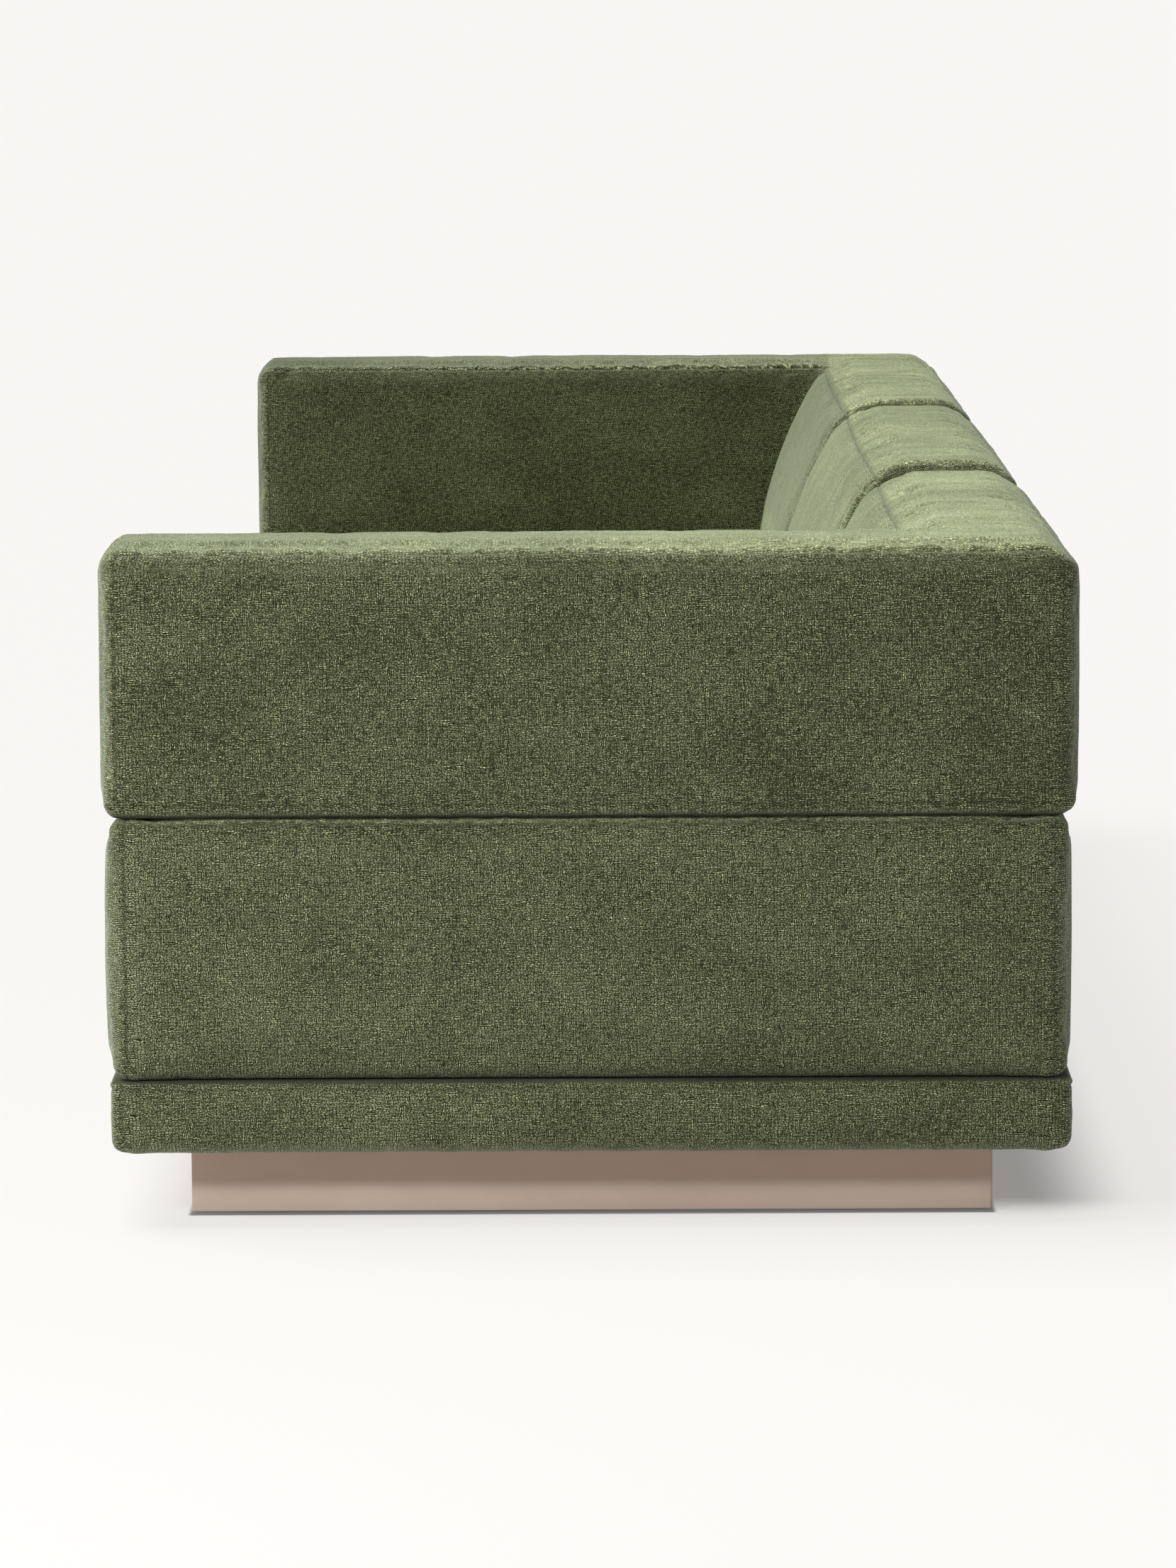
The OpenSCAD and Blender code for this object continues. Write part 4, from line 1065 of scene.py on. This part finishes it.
def chenille_effect():
    """Short loops of yarn in rows that lie along the cloth, or across it in patches."""
    tree, given, out = effect(
        "chenille loops",
        {"Vector": None, "Row Pitch": 0.0018, "Loop Length": 0.0037, "Patch Size": 0.022,
         "Straight": 0.0},
        ("Height", "Tint", "Streak", "Mottle"))
    place, pitch = given["Vector"], given["Row Pitch"]
    laid = place
    for scale, amount in ((300.0, 0.0020), (85.0, 0.0052)):
        shake = put(tree, "VectorMath", {
            0: noise(tree, place, scale, 1.0, output="Color"), 1: (0.5, 0.5, 0.5)},
            operation="SUBTRACT")
        laid = put(tree, "VectorMath", {0: shake, 1: (amount, amount, 0.0), 2: laid},
                   operation="MULTIPLY_ADD").outputs[0]
    row_height = 0.25
    scale = calc(tree, "DIVIDE", row_height, pitch)
    width = calc(tree, "MULTIPLY", calc(tree, "DIVIDE", given["Loop Length"], pitch), row_height)
    turned = put(tree, "Mapping", {
        "Vector": laid, "Rotation": (0, 0, math.pi / 2), "Location": (0.37, 0.11, 0)})
    gaps, tints, streaks = [], [], []
    for vector in (laid, turned):
        loops = put(tree, "TexBrick", {
            "Vector": vector, "Color1": (0, 0, 0, 1), "Color2": (1, 1, 1, 1),
            "Mortar": (0.3, 0.3, 0.3, 1), "Scale": scale, "Mortar Size": 0.122,
            "Mortar Smooth": 1.0, "Bias": 0.0, "Brick Width": width, "Row Height": row_height},
            offset=0.18, offset_frequency=2, squash=0.85, squash_frequency=3)
        gaps.append(loops.outputs["Fac"])
        tints.append(loops.outputs["Color"])
        drawn = put(tree, "Mapping", {"Vector": vector, "Scale": (120.0, 400.0, 1.0)})
        streaks.append(ramp(tree, noise(tree, drawn, 1.0, 2.0, 0.6), 0.32, 0.68))
    patches = noise(tree, place, calc(tree, "DIVIDE", 1.0, given["Patch Size"]), 6.0, 0.75)
    held = calc(tree, "SUBTRACT", 1.0, given["Straight"], clamp=True)
    turn = calc(tree, "MULTIPLY", ramp(tree, patches, 0.42, 0.60), held)
    height = calc(tree, "SUBTRACT", 1.0, blend(tree, turn, *gaps, kind="FLOAT"), clamp=True)
    hair = ramp(tree, noise(tree, place, 520.0, 3.0, 0.7), 0.3, 0.7)
    frayed = calc(tree, "MULTIPLY", hair, height)
    feed(tree, out, {
        "Height": calc(tree, "MULTIPLY_ADD", frayed, 0.5, calc(tree, "MULTIPLY", height, 0.5)),
        "Tint": put(tree, "RGBToBW", {"Color": blend(tree, turn, *tints)}),
        "Streak": blend(tree, turn, *streaks, kind="FLOAT"),
        "Mottle": noise(tree, place, 9.0, 4.0, 0.65),
    })
    return tree


def olive_chenille(loops):
    """Olive cloth, darker at its seams, with painted light on tops and painted shade in creases."""
    dark_yarn, pale_yarn = (0.092, 0.103, 0.039, 1), (0.610, 0.662, 0.362, 1)
    ground, shade = (0.011, 0.013, 0.004, 1), (0.016, 0.017, 0.007, 1)
    material, tree, skin = finish_named("olive chenille")
    # Painted light that makes tops, arm tops and backs' fronts paler
    painted_light = mask(tree, "painted_light")
    cloth = put(tree, "Group", {
        "Vector": put(tree, "UVMap", uv_map="weave"), "Straight": mask(tree, "band")},
        node_tree=loops).outputs
    place = object_place(tree)
    brushed = noise(
        tree, put(tree, "Mapping", {"Vector": place, "Scale": (26.0, 7.0, 20.0)}), 1.0, 5.0, 0.62)
    # The brushed streaks are stronger where the painted light is
    streak_share = ramp(tree, painted_light, 0.0, 1.0, out=(0.45, 0.95), smooth=False)
    tone = calc(tree, "MULTIPLY_ADD", cloth["Streak"], 0.74,
                calc(tree, "MULTIPLY_ADD", cloth["Tint"], 0.66, -0.41))
    for share in (
        calc(tree, "MULTIPLY_ADD", noise(tree, place, 4.5, 3.0, 0.55), 0.5, -0.25),
        calc(tree, "MULTIPLY", calc(tree, "SUBTRACT", brushed, 0.5), streak_share),
        # painted light on the lower covers and painted shade towards the rear of the ends
        calc(tree, "MULTIPLY", mask(tree, "painted_light_and_shade"), 0.11),
    ):
        tone = calc(tree, "ADD", tone, share)
    cloud = calc(tree, "MULTIPLY_ADD", cloth["Mottle"], 0.5, -0.10)
    tone = calc(tree, "ADD", tone, cloud, clamp=True)
    yarn = blend(tree, tone, dark_yarn, pale_yarn)
    # Painted light: where its mask is high, the dark ground between loops is filled with yarn and
    # the cloth is made up to 1.7 times paler
    covered = ramp(tree, painted_light, 0.0, 1.0, out=(0.0, 0.36), smooth=False)
    raised = ramp(tree, cloth["Height"], 0.15, 0.66)
    raised = calc(tree, "MAXIMUM", raised, calc(tree, "MULTIPLY_ADD", raised, 0.5, covered),
                  clamp=True)
    paler = ramp(tree, painted_light, 0.3, 1.0, out=(1.0, 1.70), smooth=False)
    laid = put(tree, "VectorMath", {0: blend(tree, raised, ground, yarn), "Scale": paler},
               operation="SCALE")
    # Painted shade at the feet of the covers, by the joints and along a platform's top, which also
    # takes the sheen away there
    pressed = calc(tree, "MULTIPLY", mask(tree, "painted_shade"), 0.94)
    seam_and_painted_shade = calc(
        tree, "MAXIMUM", calc(tree, "MULTIPLY", mask(tree, "seam"), 0.34), pressed)
    feed(tree, skin, {
        "Base Color": blend(tree, seam_and_painted_shade, laid, shade),
        "Normal": relief(tree, cloth["Height"], 0.6, 0.0010),
        "Roughness": 0.9, "Specular IOR Level": 0.2,
        "Sheen Weight": calc(tree, "MULTIPLY_ADD", pressed, -0.55, 0.55),
        "Sheen Roughness": 0.4, "Sheen Tint": (0.85, 0.94, 0.72, 1),
    })
    return material


def grain_effect():
    """Rings and pores of sawn wood, drawn out along X."""
    tree, given, out = effect(
        "wood grain", {"Vector": None, "Ring Pitch": 0.012}, ("Grain", "Pores"))
    stretched = put(tree, "Mapping", {"Vector": given["Vector"], "Scale": (1.0, 8.0, 8.0)})
    rings = put(tree, "TexWave", {
        "Vector": stretched, "Scale": calc(tree, "DIVIDE", 0.16, given["Ring Pitch"]),
        "Distortion": 6.0, "Detail": 3.0, "Detail Scale": 1.5},
        wave_type="BANDS", bands_direction="DIAGONAL")
    feed(tree, out, {
        "Grain": calc(tree, "MULTIPLY", rings.outputs["Fac"], noise(tree, stretched, 3.0, 3.0)),
        "Pores": noise(tree, stretched, 120.0, 2.0),
    })
    return tree


def handling_effect():
    """Clouds, smears and fine unevenness of a handled, painted or plated surface."""
    clouds = {"Cloud": (5.0, 5.0), "Smear": (28.0, 6.0), "Orange Peel": (900.0, 1.0)}
    tree, given, out = effect("handling wear", {"Vector": None, "Size": 1.0}, clouds)
    sized = put(tree, "VectorMath", {0: given["Vector"], "Scale": given["Size"]},
                operation="SCALE")
    feed(tree, out, {
        label: noise(tree, sized, scale, detail) for label, (scale, detail) in clouds.items()})
    return tree


def plinth_lacquer(handling):
    """Satin lacquer on board: dusty beige, with painted shade above a lighter band near the floor.
    """
    material, tree, skin = finish_named("dusty beige lacquer")
    place = object_place(tree)
    wear = put(tree, "Group", {"Vector": place}, node_tree=handling).outputs
    height = put(tree, "SeparateXYZ", {0: place}).outputs["Z"]
    # Painted shade: the board is darker and redder above about 24-40 mm, standing in for the shadow
    # of the cover's overhang
    colour = blend(
        tree, ramp(tree, height, 0.024, 0.040), (0.84, 0.66, 0.54, 1), (0.62, 0.43, 0.33, 1))
    cloud = ramp(tree, wear["Cloud"], 0.3, 0.75, out=(0.0, 0.35))
    feed(tree, skin, {
        "Base Color": blend(tree, cloud, colour, (0.52, 0.35, 0.27, 1)),
        "Roughness": ramp(tree, wear["Smear"], 0.3, 0.7, out=(0.34, 0.5)),
        "Normal": relief(tree, wear["Orange Peel"], 0.12, 0.0004),
        "Coat Weight": 0.15, "Coat Roughness": 0.25,
    })
    return material


def planed_timber(grain):
    """Pale softwood, as the frames are made of."""
    material, tree, skin = finish_named("planed softwood")
    wood = put(tree, "Group", {"Vector": object_place(tree)}, node_tree=grain).outputs
    colour = blend(tree, wood["Grain"], (0.66, 0.46, 0.26, 1), (0.42, 0.25, 0.11, 1))
    speck = ramp(tree, wood["Pores"], 0.35, 0.6, out=(0.6, 0.0))
    feed(tree, skin, {
        "Base Color": blend(tree, speck, colour, (0.34, 0.20, 0.09, 1)),
        "Roughness": ramp(tree, wood["Grain"], 0.0, 1.0, out=(0.55, 0.72)),
        "Normal": relief(tree, wood["Pores"], 0.25, 0.0004),
    })
    return material


def cut_foam():
    """Yellowish foam with open cells."""
    material, tree, skin = finish_named("cut foam")
    place = object_place(tree)
    cells = put(tree, "TexVoronoi", {"Vector": place, "Scale": 420.0}).outputs["Distance"]
    tone = calc(tree, "MULTIPLY", cells, noise(tree, place, 18.0, 4.0))
    feed(tree, skin, {
        "Base Color": blend(
            tree, ramp(tree, tone, 0.0, 0.4), (0.93, 0.88, 0.70, 1), (0.72, 0.64, 0.42, 1)),
        "Roughness": ramp(tree, tone, 0.0, 0.4, out=(0.85, 0.95)),
        "Normal": relief(tree, cells, 0.5, 0.001),
    })
    return material


def woven_webbing():
    """Black elastic webbing."""
    material, tree, skin = finish_named("woven webbing")
    strands = put(tree, "TexBrick", {
        "Vector": object_place(tree), "Color1": (0.1, 0.1, 0.1, 1), "Color2": (1, 1, 1, 1),
        "Scale": 110.0, "Mortar Size": 0.03, "Mortar Smooth": 0.8, "Brick Width": 0.5,
        "Row Height": 0.22}).outputs
    thread = calc(tree, "SUBTRACT", 1.0, strands["Fac"])
    colour = blend(
        tree, strands["Color"], (0.030, 0.026, 0.022, 1), (0.085, 0.075, 0.062, 1))
    feed(tree, skin, {
        "Base Color": blend(tree, thread, (0.010, 0.009, 0.008, 1), colour),
        "Roughness": ramp(tree, thread, 0.0, 1.0, out=(0.95, 0.75)),
        "Normal": relief(tree, thread, 0.6, 0.0008),
    })
    return material


def zinc_plate(handling):
    """Steel fittings with a dull coat of zinc."""
    material, tree, skin = finish_named("zinc plated steel")
    wear = put(tree, "Group", {"Vector": object_place(tree), "Size": 6.0},
               node_tree=handling).outputs
    feed(tree, skin, {
        "Base Color": blend(
            tree, wear["Cloud"], (0.62, 0.64, 0.66, 1), (0.44, 0.45, 0.46, 1)),
        "Roughness": ramp(tree, wear["Smear"], 0.3, 0.7, out=(0.28, 0.48)),
        "Normal": relief(tree, wear["Orange Peel"], 0.1, 0.0003),
        "Metallic": 1.0,
    })
    return material


def pressed_felt():
    """Dark grey felt under the glides."""
    material, tree, skin = finish_named("pressed felt")
    hair = noise(tree, object_place(tree), 700.0, 4.0, distortion=1.5)
    feed(tree, skin, {
        "Base Color": blend(tree, hair, (0.055, 0.052, 0.050, 1), (0.17, 0.16, 0.155, 1)),
        "Roughness": ramp(tree, hair, 0.2, 0.8, out=(0.86, 0.98)),
        "Normal": relief(tree, hair, 0.7, 0.0008),
    })
    return material


# ------------------------------------------------------------ camera, floor and light
# The photograph's camera: its place in metres, its turns in degrees, and its focal length and
# the photograph's height in pixels
CAMERA_PLACE = (8.088, 0.0394, 1.3403)
PITCH, YAW, ROLL = 7.535, -0.357, -0.307
FOCAL_LENGTH = 8900.57
PHOTOGRAPH_HEIGHT = 2212.0
SENSOR = 36.0


def photograph_camera():
    """A long lens from well beyond the near end, as in the photograph."""
    pitch, yaw, roll = (math.radians(turn) for turn in (PITCH, YAW, ROLL))
    ahead = Vector((-math.cos(pitch) * math.cos(yaw), math.cos(pitch) * math.sin(yaw),
                    -math.sin(pitch)))
    right = Vector((math.sin(yaw), math.cos(yaw), 0.0))
    up = right.cross(ahead)
    across = math.cos(roll) * right + math.sin(roll) * up
    upward = -math.sin(roll) * right + math.cos(roll) * up
    data = bpy.data.cameras.new("photograph")
    data.sensor_fit = "AUTO"
    data.sensor_width = SENSOR
    data.lens = FOCAL_LENGTH * SENSOR / PHOTOGRAPH_HEIGHT
    data.clip_end = 2000.0
    camera = bpy.data.objects.new("photograph", data)
    turned = Matrix((across, upward, -ahead)).transposed()
    camera.matrix_world = Matrix.Translation(CAMERA_PLACE) @ turned.to_4x4()
    bpy.context.scene.collection.objects.link(camera)
    bpy.context.scene.camera = camera


def seen_directly(tree):
    """1 for what the camera, a gloss or a clear piece shows, and 0 for light that is scattered."""
    path = put(tree, "LightPath").outputs
    return calc(tree, "MAXIMUM", path["Is Transmission Ray"],
                calc(tree, "MAXIMUM", path["Is Camera Ray"], path["Is Glossy Ray"]))


def shown_or_scattered(tree, scattered, shown, output):
    """Ends a tree with one shader for what is seen directly and another for scattered light."""
    both = put(tree, "MixShader", {0: seen_directly(tree), 1: scattered, 2: shown})
    put(tree, output, {0: both})


def beyond(tree, place, centre, half):
    """Distance outside a box on the floor."""
    vector = place
    for operation, other in (("SUBTRACT", centre), ("ABSOLUTE", None), ("SUBTRACT", half),
                             ("MAXIMUM", (0.0, 0.0, 0.0))):
        values = {0: vector} if other is None else {0: vector, 1: other}
        vector = put(tree, "VectorMath", values, operation=operation)
    return put(tree, "VectorMath", {0: vector}, operation="LENGTH").outputs["Value"]


def pale_floor():
    """A floor that shows a little light of its own, less of it near and below the sofa as painted
    shadow.
    """
    bpy.ops.mesh.primitive_plane_add(size=600, location=(0, 0, 0))
    floor = bpy.context.object
    floor.name = "studio_floor"
    material = bpy.data.materials.new("studio floor")
    material.use_nodes = True
    tree = material.node_tree
    tree.nodes.clear()
    place = object_place(tree)
    # Painted shadow: the floor's own light is weaker near the sofa, in a box set a little towards
    # its rear
    open_floor = ramp(tree, beyond(tree, place, (-0.06, 0.07, 0.0), (1.43, 0.40, 0.0)), 0.0, 0.13)
    plinth = (0.5 * MODULE_W - PLINTH_RECESS, 0.5 * MODULE_D - PLINTH_RECESS, 0.0)
    clear = beyond(tree, place, (0.0, 0.0, 0.0), plinth)
    for side in (-1, 1):
        clear = calc(tree, "MINIMUM", clear, beyond(
            tree, place, (side * MODULE_W, 0.0, 0.0), plinth))
    # Painted shadow under the plinths, where the floor's own light falls to 0.22 of its strength
    clear = ramp(tree, clear, 0.0, 0.006, out=(0.22, 1.0))
    tone = blend(tree, open_floor, (0.42, 0.41, 0.40, 1), (0.16, 0.157, 0.155, 1))
    strength = ramp(tree, open_floor, 0.0, 1.0, out=(0.25, 0.75), smooth=False)
    glow = put(tree, "Emission", {
        "Color": (1.0, 0.978, 0.955, 1), "Strength": calc(tree, "MULTIPLY", strength, clear)})
    shown = put(tree, "AddShader", {0: put(tree, "BsdfDiffuse", {"Color": tone}), 1: glow})
    scattered = put(tree, "BsdfDiffuse", {"Color": (0.66, 0.65, 0.64, 1)})
    shown_or_scattered(tree, scattered, shown, "OutputMaterial")
    floor.data.materials.append(material)


def studio_light():
    """A broad light overhead, a soft lamp before the near end and a low even light all round."""
    world = bpy.data.worlds.new("studio")
    bpy.context.scene.world = world
    world.use_nodes = True
    tree = world.node_tree
    tree.nodes.clear()
    towards = put(tree, "SeparateXYZ", {0: put(tree, "TexCoord").outputs["Generated"]})
    soft = put(tree, "Background", {
        "Color": (0.97, 0.98, 1.0, 1),
        "Strength": calc(tree, "MULTIPLY_ADD", towards.outputs["Y"], -0.13, 0.32)})
    shown = put(tree, "Background", {"Color": (0.955, 0.938, 0.921, 1), "Strength": 1.0})
    shown_or_scattered(tree, soft, shown, "OutputWorld")
    overhead = bpy.data.lights.new("overhead_light", "SUN")
    overhead.energy = 3.0
    overhead.angle = math.radians(42)
    lamp = bpy.data.lights.new("corner_lamp", "AREA")
    lamp.shape = "DISK"
    lamp.size = 0.5
    lamp.energy = 28.5
    for data, place, direction in (
        (overhead, (0, 0, 5), (-0.05, -0.36, 1.0)), (lamp, (3.60, -1.4, 1.66), (2.4, -1.4, 1.32)),
    ):
        light = bpy.data.objects.new(data.name, data)
        light.location = place
        light.rotation_euler = Vector(direction).to_track_quat("Z", "Y").to_euler()
        light.visible_camera = False
        bpy.context.scene.collection.objects.link(light)


# ------------------------------------------------------------ the sofa
def seat_limit(m):
    """The seat stays under the arm and the back, where these lie on it."""
    raised = seat_height(m)
    play, margin = 0.0045, 0.003

    def top(points):
        limit = raised(points[:, 0], points[:, 1]) + play
        covered = points[:, 1] > BACK_FOOT_Y - margin
        if m == 1:
            covered |= points[:, 0] > ARM_FACE_X - margin
        return np.where(covered, SEAT_TOP, limit)
    return top


# Room that a seat's and a unit's crown have above their edges
SEAT_ROOM = 0.018
UNIT_ROOM = 0.011
# Where a back has sunk further: the place of its end, and how far
TOP_DIPS = {"right": (near_x(1), 0.016), "middle": (-far_x(0), 0.008)}


def make_covers(chenille):
    """Makes the covers of the middle and the right module, and mirrors the right one's."""
    inside = 0.0002
    foot = 0.01
    for m in (0, 1):
        cap, pressure, loose, depth, seed, seam_seed = PLATFORM_MAKE
        low = [near_x(m) + inside, FRONT_Y + PLATFORM_INSET, PLATFORM_Z]
        high = [far_x(m, PLATFORM_INSET) - inside, REAR_Y - PLATFORM_INSET, SEAT_Z]
        platform, seams = filled_cover(
            "platform", lambda fine: platform_shell(m, fine), low, high, cap, pressure)
        platform = slack(platform, loose, seed + m, PLATFORM_Z)
        platform = sewn(platform, seams[:4], depth, seam_seed + m)

        cap, pressure, loose, depth, seed, seam_seed = SEAT_MAKE
        low = [near_x(m) + inside, FRONT_Y + SEAT_INSET - SEAT_BULGE, SEAT_Z]
        high = [far_x(m, SEAT_INSET) - inside, REAR_Y - SEAT_INSET, SEAT_TOP + SEAT_ROOM]
        limit = seat_limit(m)
        seat, seams = filled_cover(
            "seat", lambda fine: seat_shell(m, fine), low, high, cap, pressure, top=limit)
        seat = slack(seat, loose, seed + m, SEAT_Z + foot)
        seat = sewn(seat, seams, depth, seam_seed + m)
        seat.points[:, 2] = np.minimum(seat.points[:, 2], limit(seat.points))

        cap, pressure, loose, depth, seed, seam_seed = UNIT_MAKE
        low = [near_x(m) + inside, FRONT_Y, UNIT_Z]
        high = [far_x(m) - (inside if m == 0 else 0), REAR_Y, CREST_Z + UNIT_ROOM]
        unit, seams = filled_cover(
            "unit", lambda fine: unit_shell(m, fine), low, high, cap, pressure)
        unit.points = sunk(unit.points)
        unit = slack(unit, loose, seed + m, UNIT_Z + foot)
        unit = sewn(unit, seams, depth, seam_seed + m)
        unit.points[:, 2] = np.maximum(unit.points[:, 2], UNIT_Z)

        for side in (("middle",) if m == 0 else ("right", "left")):
            unit_name = "back_cushion" if m == 0 else "arm_and_back_cushion"
            for label, shell, body, cover, fill, dip in (
                ("platform_upholstery", platform, "base", "platform_cover", 0.9, None),
                ("seat_cushion", seat, "base", "seat_cover", 0.85, None),
                (unit_name, unit, "unit", "unit_cover", 0.9, TOP_DIPS.get(side)),
            ):
                cushion(f"{side}_{label}", shell, side == "left", f"{side}_{body}",
                        [f"{side}_{cover}"], chenille, fill, dip)


def finish_frames(materials):
    """Gives the parts under the covers their finishes, by the record's slots."""
    for part in frame["record"]["subparts"]:
        node = frame["nodes"][part["node"]]
        node.data.materials.clear()
        node.data.materials.append(materials[part["material_slot"]])


bpy.context.scene.view_settings.view_transform = "Standard"
photograph_camera()
pale_floor()
studio_light()
handling = handling_effect()
grain = grain_effect()
chenille = olive_chenille(chenille_effect())
materials = {
    "olive_chenille": chenille,
    "plinth_lacquer": plinth_lacquer(handling),
    "timber": planed_timber(grain),
    "foam": cut_foam(),
    "webbing": woven_webbing(),
    "zinc_steel": zinc_plate(handling),
    "felt_glide": pressed_felt(),
}
finish_frames(materials)
make_covers(chenille)
for body, nodes in frame["record"]["behaviour"]["bodies"].items():
    for node in nodes:
        side = node.split("_")[0]
        if "_plinth_" in node and not node.endswith("_blocks"):
            plinth_board(node, body, materials["plinth_lacquer"])
        elif node.endswith("_unit_foam"):
            foam_core(node, body, materials["foam"], TOP_DIPS.get(side, (0.0, 0.0)))
        elif node.endswith("_seat_foam"):
            foam_core(node, body, materials["foam"])
